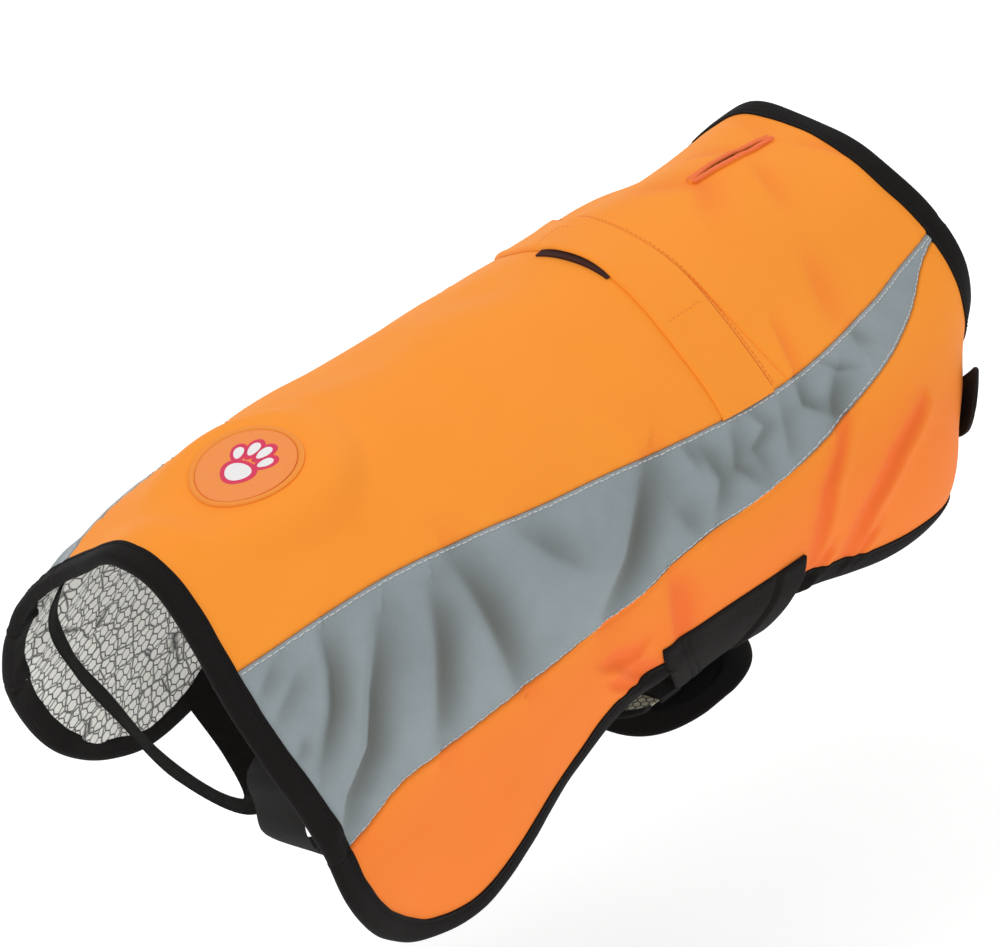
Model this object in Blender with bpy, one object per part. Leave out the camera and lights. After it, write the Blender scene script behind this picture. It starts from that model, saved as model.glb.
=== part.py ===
"""Reflective dog vest, in its worn, hollow form.

Every cloth piece lies on one form, the surface that the vest takes on a dog's back. The form is a row of
cross-sections from the tail to the neck. A place on the vest is given as a maker would measure it: how far
along the back from the tail edge, and how far down round the body from the middle of the back.
Metres, +Y towards the neck, +X to the dog's right, +Z up. The tables are in millimetres and degrees.
"""
import bpy
import bmesh
import numpy as np

MM = 0.001

# --- driving sizes -------------------------------------------------------------------------------------
CLOTH = 1.4 * MM            # shell cloth with its coating
LINING = 1.0 * MM           # hexagon mesh lining
GAP = 0.3 * MM              # between neighbouring pieces
BINDING_WIDTH = 11.0 * MM
BINDING_OUT = 2.3 * MM      # how far the binding stands over the form
BINDING_IN = -2.8 * MM
BINDING_GAP = 0.9 * MM      # from a panel's cut edge to the binding
LINING_GAP = 1.9 * MM       # the lining hangs a little free of the shell
LINING_INSET = 2.2 * MM
CENTRE_SHIFT = -5.5 * MM    # the vest sits this far over to the dog's left
FORM_LENGTH = 458.0 * MM
NECK_EDGE = 451.0 * MM      # along the back, at the neck binding's outer edge
FLAP_SEAM = 308.0 * MM      # front seam of the cross-back flap
FLAP_REAR = 277.0 * MM
SLIT_HALF = 31.0 * MM       # half length of the flap's open slit
SLIT_LIFT = 3.4 * MM
BADGE_ALONG = 73.0 * MM
BADGE_RADIUS = 25.5 * MM
BADGE_THICK = 2.2 * MM
LEAD_SLIT_REAR = 358.0 * MM
LEAD_SLIT_FRONT = 420.0 * MM
LEAD_SLIT_GIRTH = -3.0 * MM
BAND_REAR = 207.0 * MM      # belly band, where it is sewn to the side panel
BAND_FRONT = 279.0 * MM
BAND_TOP = 181.0 * MM
MOUNT_ALONG = 225.0 * MM    # the back carries the vest here
BAND_CLOTH = 1.4 * MM
ARM_REAR = 202.0 * MM       # rounded lobe of the left arm, under the belly
ARM_FRONT = 278.0 * MM
ARM_LEAVES = 252.0 * MM     # here the lobe leaves the form, on the right side, and stands straight out
LOBE_REACH = 46.0 * MM
LOBE_RISE = -0.02            # rise of the lobe per length
STRAP_WIDTH = 20.0 * MM
STRAP_THICK = 1.2 * MM
TAB_LIFT = 6.0 * MM
FACING_LOW = -145.0 * MM    # under the corner of flank and band
FACING_REAR = 190.0 * MM
FACING_THICK = 1.6 * MM

# --- the form: one row a section -----------------------------------------------------------------------
# along: place on the back, from the tail edge; top: height of the back line; lean: how far the section's
# lower end leans towards the neck; the rest: steepness of the cloth at each distance of SLOPE_AT
SLOPE_AT = (0, 25, 50, 80, 120, 160, 200, 240, 290, 335)
SECTIONS = (
    # along top lean  slopes
    (0, 3, 0, 0, 39, 45, 44, 68, 75, 91, 100, 92, 92),
    (50, 9, 0, 0, 29, 36, 46, 71, 81, 89, 94, 100, 105),
    (120, 10, 0, 0, 24, 31, 47, 70, 83, 87, 100, 146, 170),
    (200, 9, 0, 0, 24, 34, 45, 66, 86, 107, 170, 180, 180),
    (280, 8, 9, 0, 24, 36, 41, 56, 82, 110, 168, 180, 180),
    (312, 8, 16, 0, 26, 39, 41, 51, 81, 93, 132, 172, 180),
    (340, 8, 22, 0, 27, 41, 41, 47, 80, 94, 136, 172, 180),
    (390, 6, 18, 0, 24, 44, 45, 53, 95, 118, 158, 180, 180),
    (430, 3, 12, 0, 12, 41, 49, 79, 120, 152, 180, 180, 180),
    (458, 0, 11, 0, 2, 37, 53, 108, 149, 177, 192, 190, 190),
)

# --- seams and edges: along the back, and down from its middle line ------------------------------------
INSERT_TOP = ((0, 66), (50, 71.7), (130, 81), (200, 90), (250, 97), (310, 102.3), (357, 98.3),
              (398, 90.6), (451, 79))
INSERT_LOW = ((0, 160), (47, 153.5), (110, 152), (173, 148.8), (240, 139.5), (301, 135),
              (341, 126.5), (373, 117), (409, 102), (451, 81))
# the worn vest sits a little askew: the right half reaches further back than the left one
REAR_RIGHT = ((-4, 0), (-4.5, 34), (-6, 62), (-6.8, 84), (-4.7, 110), (1, 133), (7, 157),
              (11.5, 180), (19, 198), (35.5, 222.5), (58, 242), (76, 247.5), (92, 247),
              (107, 241.5), (120, 234), (133, 227), (148, 221), (163, 214), (177, 205), (193, 199),
              (214, 198))
REAR_LEFT = ((-4, 0), (-1, 25), (3, 52), (4, 90), (4, 115), (8, 152), (18, 184), (39, 223),
             (65, 246), (92, 256), (116, 252), (134, 240), (149, 226), (163, 214), (177, 205),
             (193, 199), (214, 198))
UNDER_BAND_EDGE = ((214, 198), (240, 199), (272, 200))
LEG_EDGE = ((272, 200), (286, 206), (300, 214), (320, 225), (340, 233), (365, 241), (395, 249), (431, 263))
# middle line of the chest tab, from the chest's middle to its rounded end
TAB_LINE = ((428, 230), (416, 200), (400, 153))
# hind-leg loop: its middle line, and the way its flat face looks, for the right leg
STRAP_PATH = (
    # x    y    z    face x, y, z
    (69.2, 24.8, -50.3, 0.70, -0.10, 0.70),
    (66, 12, -66, 0.70, -0.45, 0.10),
    (58, 13, -84, 0.55, -0.70, -0.35),
    (47, 27, -115, 0.48, -0.72, -0.50),
    (35, 42, -147, 0.40, -0.75, -0.52),
    (22, 68, -178, 0.10, -0.60, -0.78),
    (32, 98, -196, -0.40, 0.10, -0.90),
    (62, 114, -194, -0.20, 0.50, -0.80),
    (90, 117, -177.5, 0.60, 0.50, -0.60),
)


def smooth(knots, values, at):
    """Read a smooth curve through the knots at each place of `at`: a cubic between neighbouring knots
    whose tangents are the mean slopes at the knots."""
    knots = np.asarray(knots, float)
    values = np.asarray(values, float)
    at = np.asarray(at, float)
    tangents = np.gradient(values, knots, axis=-1)
    i = np.clip(np.searchsorted(knots, at) - 1, 0, len(knots) - 2)
    span = knots[i + 1] - knots[i]
    t = (at - knots[i]) / span
    start = (2 * t ** 3 - 3 * t ** 2 + 1) * values[..., i]
    leave = (t ** 3 - 2 * t ** 2 + t) * span * tangents[..., i]
    end = (3 * t ** 2 - 2 * t ** 3) * values[..., i + 1]
    arrive = (t ** 3 - t ** 2) * span * tangents[..., i + 1]
    return start + leave + end + arrive


# --- the form as a grid of points: rows along the back, columns round the body -------------------------
GIRTH_STEP = 4.0 * MM
GIRTH_REACH = 380.0 * MM
FORM_ROWS = 93


def build_form():
    """Points of the form. The cloth's steepness is read at each distance round the body, and the
    section is drawn by walking down it: across by the cosine, down by the sine."""
    table = np.array(SECTIONS, float)
    stations = np.linspace(0, FORM_LENGTH, FORM_ROWS)
    columns = smooth(table[:, 0] * MM, table[:, 1:].T, stations)
    top = columns[0] * MM
    lean = np.radians(columns[1])
    girths = np.arange(0, GIRTH_REACH + GIRTH_STEP / 2, GIRTH_STEP)
    reach = np.minimum(girths, SLOPE_AT[-1] * MM)
    steep = np.radians(smooth(np.array(SLOPE_AT) * MM, columns[2:].T, reach))
    middle = (steep[:, 1:] + steep[:, :-1]) / 2
    zero = np.zeros((FORM_ROWS, 1))
    across = np.concatenate([zero, np.cumsum(np.cos(middle) * GIRTH_STEP, axis=1)], axis=1)
    drop = np.concatenate([zero, np.cumsum(np.sin(middle) * GIRTH_STEP, axis=1)], axis=1)
    along = stations[:, None] + drop * np.sin(lean)[:, None]
    height = top[:, None] - drop * np.cos(lean)[:, None]
    right = np.stack([across, along, height], axis=-1)
    left = right[:, :0:-1] * np.array([-1.0, 1.0, 1.0])
    return np.concatenate([left, right], axis=1)


FORM = build_form()
AROUND = np.gradient(FORM, axis=1)
FORWARD = np.gradient(FORM, axis=0)
NORMAL = np.cross(AROUND, FORWARD)
NORMAL = NORMAL / np.linalg.norm(NORMAL, axis=-1, keepdims=True)
FORM_MIDDLE = (FORM.shape[1] - 1) // 2
# where each section comes back to the middle plane, under the belly or at the chest
CLOSING = np.array([np.interp(0, -row[::1, 0], np.arange(len(row)) * GIRTH_STEP)
                    for row in FORM[:, FORM_MIDDLE + 30:]]) + 30 * GIRTH_STEP


def read_grid(grid, along, girth):
    """Read a grid of the form between its points, straight along both ways."""
    row = np.clip(along / FORM_LENGTH * (FORM_ROWS - 1), -2, FORM_ROWS + 1)
    column = np.clip(girth / GIRTH_STEP + FORM_MIDDLE, 0, grid.shape[1] - 1.001)
    i = np.clip(np.floor(row).astype(int), 0, FORM_ROWS - 2)
    j = np.floor(column).astype(int)
    a = (row - i)[..., None]
    b = (column - j)[..., None]
    rear = grid[i, j] * (1 - b) + grid[i, j + 1] * b
    front = grid[i + 1, j] * (1 - b) + grid[i + 1, j + 1] * b
    return rear * (1 - a) + front * a


BACK_POINT = read_grid(FORM, np.array([MOUNT_ALONG]), np.array([0.0]))[0]
ORIGIN = np.array([0.0, BACK_POINT[1], BACK_POINT[2] - LINING_GAP - LINING])


def on_vest(along, girth, out):
    """A place on the vest, `out` over the form. `girth` is measured from the vest's own middle line."""
    along = np.asarray(along, float)
    girth = np.asarray(girth, float) + CENTRE_SHIFT + 0 * along
    point = read_grid(FORM, along, girth)
    normal = read_grid(NORMAL, along, girth)
    normal = normal / np.linalg.norm(normal, axis=-1, keepdims=True)
    return point + normal * (np.asarray(out) + 0 * along)[..., None] - ORIGIN


def closing_girth(along):
    """Girth at which the section comes back to the middle plane."""
    return np.interp(along, np.linspace(0, FORM_LENGTH, FORM_ROWS), CLOSING)


def round_under(along, girth, out):
    """A place reached down the right side, and past the middle of the belly or chest up the left one."""
    along = np.asarray(along, float)
    girth = np.asarray(girth, float) + 0 * along
    closing = closing_girth(along)
    signed = np.where(girth <= closing, girth, girth - 2 * closing)
    return on_vest(along, signed - CENTRE_SHIFT, out)


def edge_line(table, count):
    """A smooth run of `count` points along an edge table, evenly spaced on the cloth."""
    rows = np.array(table, float) * MM
    chord = np.concatenate([[0], np.cumsum(np.hypot(*np.diff(rows, axis=0).T))])
    fine = np.linspace(0, chord[-1], 400)
    line = np.stack([smooth(chord, rows[:, 0], fine), smooth(chord, rows[:, 1], fine)], axis=-1)
    length = np.concatenate([[0], np.cumsum(np.hypot(*np.diff(line, axis=0).T))])
    even = np.linspace(0, length[-1], count)
    return np.stack([np.interp(even, length, line[:, 0]), np.interp(even, length, line[:, 1])], axis=-1)


def moved_in(line, distance):
    """The line moved to its left-hand side, on the flat cloth."""
    ahead = np.gradient(line, axis=0)
    ahead = ahead / np.hypot(ahead[:, 0], ahead[:, 1])[:, None]
    return line + np.stack([-ahead[:, 1], ahead[:, 0]], axis=-1) * distance


# --- making solids -------------------------------------------------------------------------------------
def make_material(name, colour, roughness):
    material = bpy.data.materials.new(name)
    material.use_nodes = True
    shader = material.node_tree.nodes["Principled BSDF"]
    shader.inputs["Base Color"].default_value = (*colour, 1.0)
    shader.inputs["Roughness"].default_value = roughness
    shader.inputs["Metallic"].default_value = 0.0
    return material


ORANGE = (0.95, 0.27, 0.03)
GREY = (0.33, 0.36, 0.38)
BLACK = (0.02, 0.019, 0.018)
CREAM = (0.62, 0.58, 0.48)
BADGE_ORANGE = (0.93, 0.25, 0.06)


def make_object(name, points, faces, colour, roughness):
    """One named object from its points and faces, with its faces turned outwards."""
    mesh = bpy.data.meshes.new(name)
    mesh.from_pydata([tuple(point) for point in points], [], faces)
    work = bmesh.new()
    work.from_mesh(mesh)
    bmesh.ops.triangulate(work, faces=work.faces)
    bmesh.ops.recalc_face_normals(work, faces=work.faces)
    work.to_mesh(mesh)
    work.free()
    mesh.shade_smooth()
    mesh.set_sharp_from_angle(angle=np.radians(40))
    mesh.materials.append(make_material(name, colour, roughness))
    piece = bpy.data.objects.new(name, mesh)
    bpy.context.scene.collection.objects.link(piece)
    return piece


def sheet_solid(name, place, along, girth, inner, outer, colour, roughness=0.8):
    """A cloth wall over a grid of places: its outer face, its inner face, and the rim between them."""
    rows, columns = along.shape
    top = place(along, girth, outer).reshape(-1, 3)
    bottom = place(along, girth, inner).reshape(-1, 3)
    count = rows * columns
    number = np.arange(count).reshape(rows, columns)
    quads = np.stack([number[:-1, :-1], number[1:, :-1], number[1:, 1:], number[:-1, 1:]], axis=-1)
    quads = quads.reshape(-1, 4)
    rim = np.concatenate([number[0, :], number[1:, -1], number[-1, -2::-1], number[-2:0:-1, 0]])
    following = np.roll(rim, -1)
    walls = np.stack([rim, following, following + count, rim + count], axis=-1)
    faces = quads.tolist() + (quads[:, ::-1] + count).tolist() + walls[:, ::-1].tolist()
    return make_object(name, np.concatenate([top, bottom]), faces, colour, roughness)


def strip_solid(name, place, line, profile, colour, roughness=0.9):
    """A tape along an edge: `profile` gives places in from the edge and heights over the form."""
    rings = []
    for distance, out in profile:
        side = moved_in(line, distance)
        rings.append(place(side[:, 0], side[:, 1], out))
    rings = np.stack(rings, axis=1)
    count, sides = rings.shape[:2]
    number = np.arange(count * sides).reshape(count, sides)
    turned = np.roll(number, -1, axis=1)
    walls = np.stack([number[:-1], number[1:], turned[1:], turned[:-1]], axis=-1).reshape(-1, 4).tolist()
    faces = walls + [number[0].tolist()] + [number[-1, ::-1].tolist()]
    return make_object(name, rings.reshape(-1, 3), faces, colour, roughness)


def binding_profile(width=BINDING_WIDTH, low=BINDING_IN, high=BINDING_OUT):
    """The folded tape's section: a rounded outer fold, and two faces that close on the cloth."""
    nose = (low + high) / 2
    fold = 1.2 * MM
    return ((0, nose), (fold, high), (width, high), (width, low), (fold, low))


# --- the panels ----------------------------------------------------------------------------------------
def seam(table, along):
    rows = np.array(table, float) * MM
    return smooth(rows[:, 0], rows[:, 1], along)


def rear_inner(girth):
    """How far along the rear binding's inner edge lies at a distance down from the back's middle; the
    distance is negative on the left."""
    right = np.array(REAR_RIGHT[:8], float) * MM
    left = np.array(REAR_LEFT[:7], float) * MM
    down = np.abs(girth)
    edge = np.where(girth >= 0, smooth(right[:, 1], right[:, 0], down), smooth(left[:, 1], left[:, 0], down))
    return edge + BINDING_WIDTH + BINDING_GAP


NECK_INNER = NECK_EDGE - BINDING_WIDTH - BINDING_GAP


def span(start, end, share):
    return start + (end - start) * share


def back_rear():
    """Orange back from the tail binding to the flap's seam, between the two inserts."""
    u, v = np.meshgrid(np.linspace(0, 1, 11), np.linspace(-1, 1, 17), indexing="ij")
    rough_along = span(15 * MM, FLAP_SEAM, u)
    girth = v * (seam(INSERT_TOP, rough_along) - GAP / 2)
    along = span(rear_inner(girth), FLAP_SEAM - GAP / 2, u)
    girth = v * (seam(INSERT_TOP, along) - GAP / 2)
    sheet_solid("back_rear", on_vest, along, girth, 0.0, CLOTH, ORANGE)


def back_front():
    """Orange shoulder panel from the flap's seam to the neck binding, with the lead slit cut in it."""
    u, v = np.meshgrid(np.linspace(0, 1, 8), np.linspace(-1, 1, 17), indexing="ij")
    along = span(FLAP_SEAM + GAP / 2, NECK_INNER, u)
    girth = v * (seam(INSERT_TOP, along) - GAP / 2)
    sheet_solid("back_front", on_vest, along, girth, 0.0, CLOTH, ORANGE)


def cross_flap():
    """Orange flap across the back over the harness opening. Its rear edge gapes at the middle."""
    u, v = np.meshgrid(np.linspace(0, 1, 4), np.linspace(-1, 1, 17), indexing="ij")
    along = span(FLAP_REAR, FLAP_SEAM - 2 * GAP, u)
    girth = v * (seam(INSERT_TOP, along) - GAP)
    reach = np.clip(1 - (girth / (1.5 * SLIT_HALF)) ** 2, 0, 1)
    lift = CLOTH + GAP + SLIT_LIFT * reach ** 2 * (1 - u) ** 1.5
    sheet_solid("cross_flap", on_vest, along, girth, lift, lift + CLOTH, ORANGE)


def hook_tape():
    """Dark hook tape that shows in the flap's slit."""
    u, v = np.meshgrid(np.linspace(0, 1, 3), np.linspace(-1, 1, 9), indexing="ij")
    along = span(FLAP_REAR + 0.5 * MM, FLAP_REAR + 9 * MM, u)
    low = CLOTH + GAP
    high = low + 0.8 * MM * (1 - 0.4 * v ** 2)
    sheet_solid("hook_tape", on_vest, along, v * 0.86 * SLIT_HALF, low, high, BLACK)


def lead_slit():
    """Folded welt round the lead slit, along the back near the neck."""
    turn = np.linspace(0, 2 * np.pi, 25)[:-1]
    middle = (LEAD_SLIT_REAR + LEAD_SLIT_FRONT) / 2
    half_length = (LEAD_SLIT_FRONT - LEAD_SLIT_REAR) / 2
    half_width = 4.0 * MM
    opening = 0.8 * MM
    corner = 0.35
    side = np.sign(np.sin(turn)) * np.abs(np.sin(turn)) ** corner
    end = np.sign(np.cos(turn)) * np.abs(np.cos(turn)) ** corner
    low = CLOTH + GAP
    profile = ((1.0, low), (1.0, low + 0.9 * MM), (0.55, low + 1.3 * MM), (0.0, low + 0.7 * MM), (0.0, low))
    rings = []
    for share, out in profile:
        along = middle + end * span(half_length - half_width + opening, half_length, share)
        girth = LEAD_SLIT_GIRTH + side * span(opening, half_width, share)
        rings.append(on_vest(along, girth, out))
    rings = np.stack(rings, axis=1)
    number = np.arange(rings.shape[0] * rings.shape[1]).reshape(rings.shape[:2])
    ahead = np.roll(number, -1, axis=0)
    faces = np.stack([number, ahead, np.roll(ahead, -1, axis=1), np.roll(number, -1, axis=1)], axis=-1)
    make_object("lead_slit", rings.reshape(-1, 3), faces.reshape(-1, 4).tolist(), ORANGE, 0.8)


def insert(side, word):
    """Grey reflective insert: broad at the tail, narrow at the neck, both edges a wave."""
    u, v = np.meshgrid(np.linspace(0, 1, 29), np.linspace(0, 1, 4), indexing="ij")
    rough = span(18 * MM, NECK_INNER, u)
    girth = span(seam(INSERT_TOP, rough) + GAP / 2, seam(INSERT_LOW, rough) - GAP / 2, v)
    along = span(rear_inner(side * girth), NECK_INNER, u)
    girth = span(seam(INSERT_TOP, along) + GAP / 2, seam(INSERT_LOW, along) - GAP / 2, v)
    sheet_solid("insert_" + word, on_vest, along, side * girth, 0.0, CLOTH, GREY, 0.5)


def blended_patch(top, bottom, rear, front):
    """A grid of places inside four edge lines, each a mean of the edges weighed by nearness."""
    n = len(top)
    m = len(rear)
    u = np.linspace(0, 1, n)[:, None, None]
    v = np.linspace(0, 1, m)[None, :, None]
    ruled = span(top[:, None], bottom[:, None], v) + span(rear[None], front[None], u)
    corners = span(span(top[0], top[-1], u), span(bottom[0], bottom[-1], u), v)
    return ruled - corners


def even_line(points, count):
    """The polyline read at `count` evenly spaced places."""
    length = np.concatenate([[0], np.cumsum(np.hypot(*np.diff(points, axis=0).T))])
    even = np.linspace(0, length[-1], count)
    return np.stack([np.interp(even, length, points[:, 0]), np.interp(even, length, points[:, 1])], axis=-1)


def lower_edge(inset, side):
    """The lower edge of a half, `inset` from the bindings: first the tail and the rear lobe down to its
    corner, then the flank, under the band and over the front leg to the chest."""
    tail = REAR_RIGHT if side > 0 else REAR_LEFT
    rear = moved_in(edge_line(tail, 120), -(BINDING_WIDTH + inset))
    under = edge_line(UNDER_BAND_EDGE, 12)
    leg = moved_in(edge_line(LEG_EDGE, 60), -(BINDING_WIDTH + inset))
    corner = np.argmax(rear[:, 1] > 230 * MM)
    last = np.argmax(rear[:, 0] > BAND_REAR + 6 * MM)
    start_leg = np.argmax(leg[:, 0] > BAND_FRONT - 6 * MM)
    under_run = under[(under[:, 0] > BAND_REAR + 12 * MM) & (under[:, 0] < BAND_FRONT - 12 * MM)]
    return rear[:corner + 1], np.concatenate([rear[corner:last], under_run, leg[start_leg:]])


def side_panel(side, word):
    """Orange side from the rear lobe forward under the insert to the chest, where it meets its twin."""
    rear, run = lower_edge(BINDING_GAP, side)
    first = np.argmax(rear[:, 1] > seam(INSERT_LOW, rear[:, 0]) + GAP)
    rear_side = even_line(rear[first:], 9)
    bottom = even_line(run, 29)
    along = np.linspace(rear_side[0, 0], NECK_INNER, 29)
    top = np.stack([along, seam(INSERT_LOW, along) + GAP / 2], axis=-1)
    rear_side[0] = top[0]
    front = even_line(np.concatenate([top[-1:], [[NECK_INNER, 222 * MM]], bottom[-1:]]), 9)
    grid = stop_at_middle(blended_patch(top, bottom, rear_side, front), side)
    sheet_solid("side_" + word, on_vest, grid[..., 0], side * grid[..., 1], 0.0, CLOTH, ORANGE)


def stop_at_middle(grid, side):
    """Keep a grid on its own side of the chest: no place goes past the middle plane."""
    limit = closing_girth(grid[..., 0]) - side * CENTRE_SHIFT - 1.5 * MM
    kept = grid.copy()
    kept[..., 1] = np.minimum(grid[..., 1], limit)
    return kept


# --- lining, bindings and trims ------------------------------------------------------------------------
def lining(side, word):
    """Hexagon mesh lining of one half, inside the panels, from the tail to the neck."""
    rear, run = lower_edge(LINING_INSET, side)
    rear_side = even_line(rear, 11)
    rear_side[0, 1] = GAP / 2
    bottom = even_line(run, 25)
    along = np.linspace(rear_side[0, 0], NECK_INNER - LINING_INSET, 25)
    top = np.stack([along, np.full(25, GAP / 2)], axis=-1)
    turn = np.array([[NECK_INNER - LINING_INSET, 220 * MM]])
    front = even_line(np.concatenate([top[-1:], turn, bottom[-1:]]), 11)
    grid = stop_at_middle(blended_patch(top, bottom, rear_side, front), side)
    sheet_solid("lining_" + word, on_vest, grid[..., 0], side * grid[..., 1],
                -LINING_GAP - LINING, -LINING_GAP, CREAM)


def mirrored(line):
    return line * np.array([1.0, -1.0])


def rear_binding():
    """Black tape round both rear lobes and over the back, in one run from flank to flank."""
    right = edge_line(REAR_RIGHT, 33)
    right = right[right[:, 0] < BAND_REAR + 5 * MM]
    left = edge_line(REAR_LEFT, 31)
    left = left[left[:, 0] < BAND_REAR + 5 * MM]
    line = np.concatenate([right[::-1], mirrored(left[1:])])
    strip_solid("binding_rear", on_vest, line, binding_profile(), BLACK)


def leg_binding(side, word):
    """Black tape on the lower front edge, from the belly band over the front leg to the chest. It is
    cut off along the chest's middle, where it meets its twin."""
    line = edge_line(LEG_EDGE, 21)
    line = line[line[:, 0] > BAND_FRONT - 5 * MM]
    inner = moved_in(line, -BINDING_WIDTH)
    limit = closing_girth(inner[:, 0]) - side * CENTRE_SHIFT - 1.5 * MM
    line = line[inner[:, 1] < limit - 2 * MM]

    def place(along, girth, out):
        ring = stop_at_middle(np.stack([along, girth], axis=-1), side)
        return on_vest(ring[..., 0], side * ring[..., 1], out)

    strip_solid("binding_leg_" + word, place, line[::-1], binding_profile(), BLACK)


def neck_binding():
    """Black tape round the neck edge, from the chest over the nape and back to the chest."""
    closing = closing_girth(NECK_EDGE) - 1.5 * MM
    girth = np.linspace(-closing - CENTRE_SHIFT, closing - CENTRE_SHIFT, 37)
    line = np.stack([np.full(37, NECK_EDGE), girth], axis=-1)
    strip_solid("binding_neck", on_vest, line, binding_profile(), BLACK)


BAND_LOW = BINDING_OUT + GAP


def band_right():
    """Belly band's right arm: sewn over the side panel's edge, then narrower, round under the belly."""
    u, v = np.meshgrid(np.linspace(0, 1, 17), np.linspace(0, 1, 6), indexing="ij")
    narrow = np.clip(u / 0.3, 0, 1)
    narrow = narrow * narrow * (3 - 2 * narrow)
    along = span(BAND_REAR + 13 * MM * narrow, BAND_FRONT - 15 * MM * narrow, v)
    girth = span(BAND_TOP + CENTRE_SHIFT, closing_girth(along) - 4 * MM, u)
    sheet_solid("band_right", round_under, along, girth, BAND_LOW, BAND_LOW + BAND_CLOTH, BLACK)


def arm_lift(girth, along):
    """Height over the form of the left arm: on the panel, then below the right arm."""
    beyond = closing_girth(along) - girth
    below = np.clip((beyond + 34 * MM) / (28 * MM), 0, 1)
    step = (below * below * (3 - 2 * below)) * (BAND_CLOTH + 4 * GAP)
    return BAND_LOW + step


def arm_place(u, v, out):
    """A place on the left arm: u from the left side panel to the lobe's end, v from rear to front. The
    lobe leaves the form under the right side and stands out from it, so its inner face shows above."""
    u = np.asarray(u, float)
    v = np.asarray(v, float)
    ease = u * u * (3 - 2 * u)
    rear = span(BAND_REAR, ARM_REAR, ease)
    front = span(BAND_FRONT, ARM_FRONT, ease)
    along = span(rear, front, v)
    start = 2 * closing_girth(along) - BAND_TOP + CENTRE_SHIFT
    girth = span(start, ARM_LEAVES - LOBE_REACH, u)
    past = np.maximum(ARM_LEAVES - girth, 0)
    point = round_under(along, girth + past, arm_lift(girth + past, along) + out)
    return point + past[..., None] * np.array([1.0, 0.0, LOBE_RISE])


LOBE_ROUND = 0.17            # share of the arm's length taken by its rounded end


def lobe_half(u):
    """Half width of the arm as a share: full, then a rounded end."""
    into = np.clip((np.asarray(u) - (1 - LOBE_ROUND)) / LOBE_ROUND, 0, 1)
    return 0.5 * np.sqrt(np.clip(1 - (0.93 * into) ** 3.2, 0.02, 1))


def band_left():
    """Belly band's left arm: under the belly and past the right arm, to its rounded closure lobe."""
    rounded = span(1 - LOBE_ROUND, 1, np.sqrt(np.linspace(0, 1, 7)))
    steps = np.concatenate([np.linspace(0, 1 - LOBE_ROUND, 20)[:-1], rounded])
    u, v = np.meshgrid(steps, np.linspace(-1, 1, 7), indexing="ij")
    inside = 0.86
    sheet_solid("band_left", arm_place, u * 0.985, 0.5 + v * lobe_half(u) * inside, 0.0, BAND_CLOTH, BLACK)


def lobe_border():
    """Thick folded border round the rounded lobe, with a ridge that runs along its edge."""
    start = 0.55
    rounded = span(1 - LOBE_ROUND, 1, np.sqrt(np.linspace(0, 1, 8)))
    steps = np.concatenate([np.linspace(start, 1 - LOBE_ROUND, 9)[:-1], rounded])
    half = lobe_half(steps)
    outer = np.concatenate([np.stack([steps, 0.5 - half], -1), np.stack([steps, 0.5 + half], -1)[::-1]])
    inner_steps = steps * 0.985
    inner = np.concatenate([np.stack([inner_steps, 0.5 - half * 0.875], -1),
                            np.stack([inner_steps, 0.5 + half * 0.875], -1)[::-1]])
    profile = ((0, 0.5), (0.15, -0.4), (1, -0.4), (1, 1.8), (0.15, 1.8))
    rings = []
    for share, out in profile:
        place = span(outer, inner, share)
        rings.append(arm_place(place[:, 0], place[:, 1], out * MM))
    rings = np.stack(rings, axis=1)
    loft("lobe_border", rings, BLACK)


def loft(name, rings, colour, roughness=0.9):
    """A closed solid through rings of points, capped at its two ends."""
    count, sides = rings.shape[:2]
    number = np.arange(count * sides).reshape(count, sides)
    turned = np.roll(number, -1, axis=1)
    walls = np.stack([number[:-1], number[1:], turned[1:], turned[:-1]], axis=-1).reshape(-1, 4).tolist()
    faces = walls + [number[0].tolist()] + [number[-1, ::-1].tolist()]
    return make_object(name, rings.reshape(-1, 3), faces, colour, roughness)


def chest_tab():
    """Rounded closure tab across the chest; its free end stands off the cloth."""
    u, v = np.meshgrid(np.linspace(0, 1, 11), np.linspace(-1, 1, 6), indexing="ij")
    table = np.array(TAB_LINE, float) * MM
    knots = np.array([0.0, 0.42, 1.0])
    middle_along = smooth(knots, table[:, 0], u)
    middle_girth = smooth(knots, table[:, 1], u)
    half = span(6, 29, u) * MM * np.sqrt(np.clip(1 - (np.clip((u - 0.62) / 0.38, 0, 0.95)) ** 2.6, 0, 1))
    along = middle_along + v * half * 0.79
    girth = middle_girth - v * half * 0.61
    low = CLOTH + GAP + TAB_LIFT * u ** 2
    sheet_solid("chest_tab", round_under, along, girth + CENTRE_SHIFT, low, low + 1.8 * MM, BLACK)


def leg_loop(side, word):
    """Flat elastic loop: from inside the tail edge round behind the thigh to the side panel's edge."""
    table = np.array(STRAP_PATH, float)
    knots = np.concatenate([[0], np.cumsum(np.linalg.norm(np.diff(table[:, :3], axis=0), axis=1))])
    at = np.linspace(0, knots[-1], 21)
    middle = smooth(knots, table[:, :3].T, at).T * MM - ORIGIN
    face = smooth(knots, table[:, 3:].T, at).T
    ahead = np.gradient(middle, axis=0)
    ahead = ahead / np.linalg.norm(ahead, axis=1, keepdims=True)
    face = face - ahead * np.sum(face * ahead, axis=1, keepdims=True)
    face = face / np.linalg.norm(face, axis=1, keepdims=True)
    width = np.cross(ahead, face)
    corners = ((-1, -1), (1, -1), (1, 1), (-1, 1))
    rings = np.stack([middle + width * a * STRAP_WIDTH / 2 + face * b * STRAP_THICK / 2
                      for a, b in corners], axis=1)
    rings = rings * np.array([side, 1, 1])
    loft("leg_loop_" + word, rings, BLACK)


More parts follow.
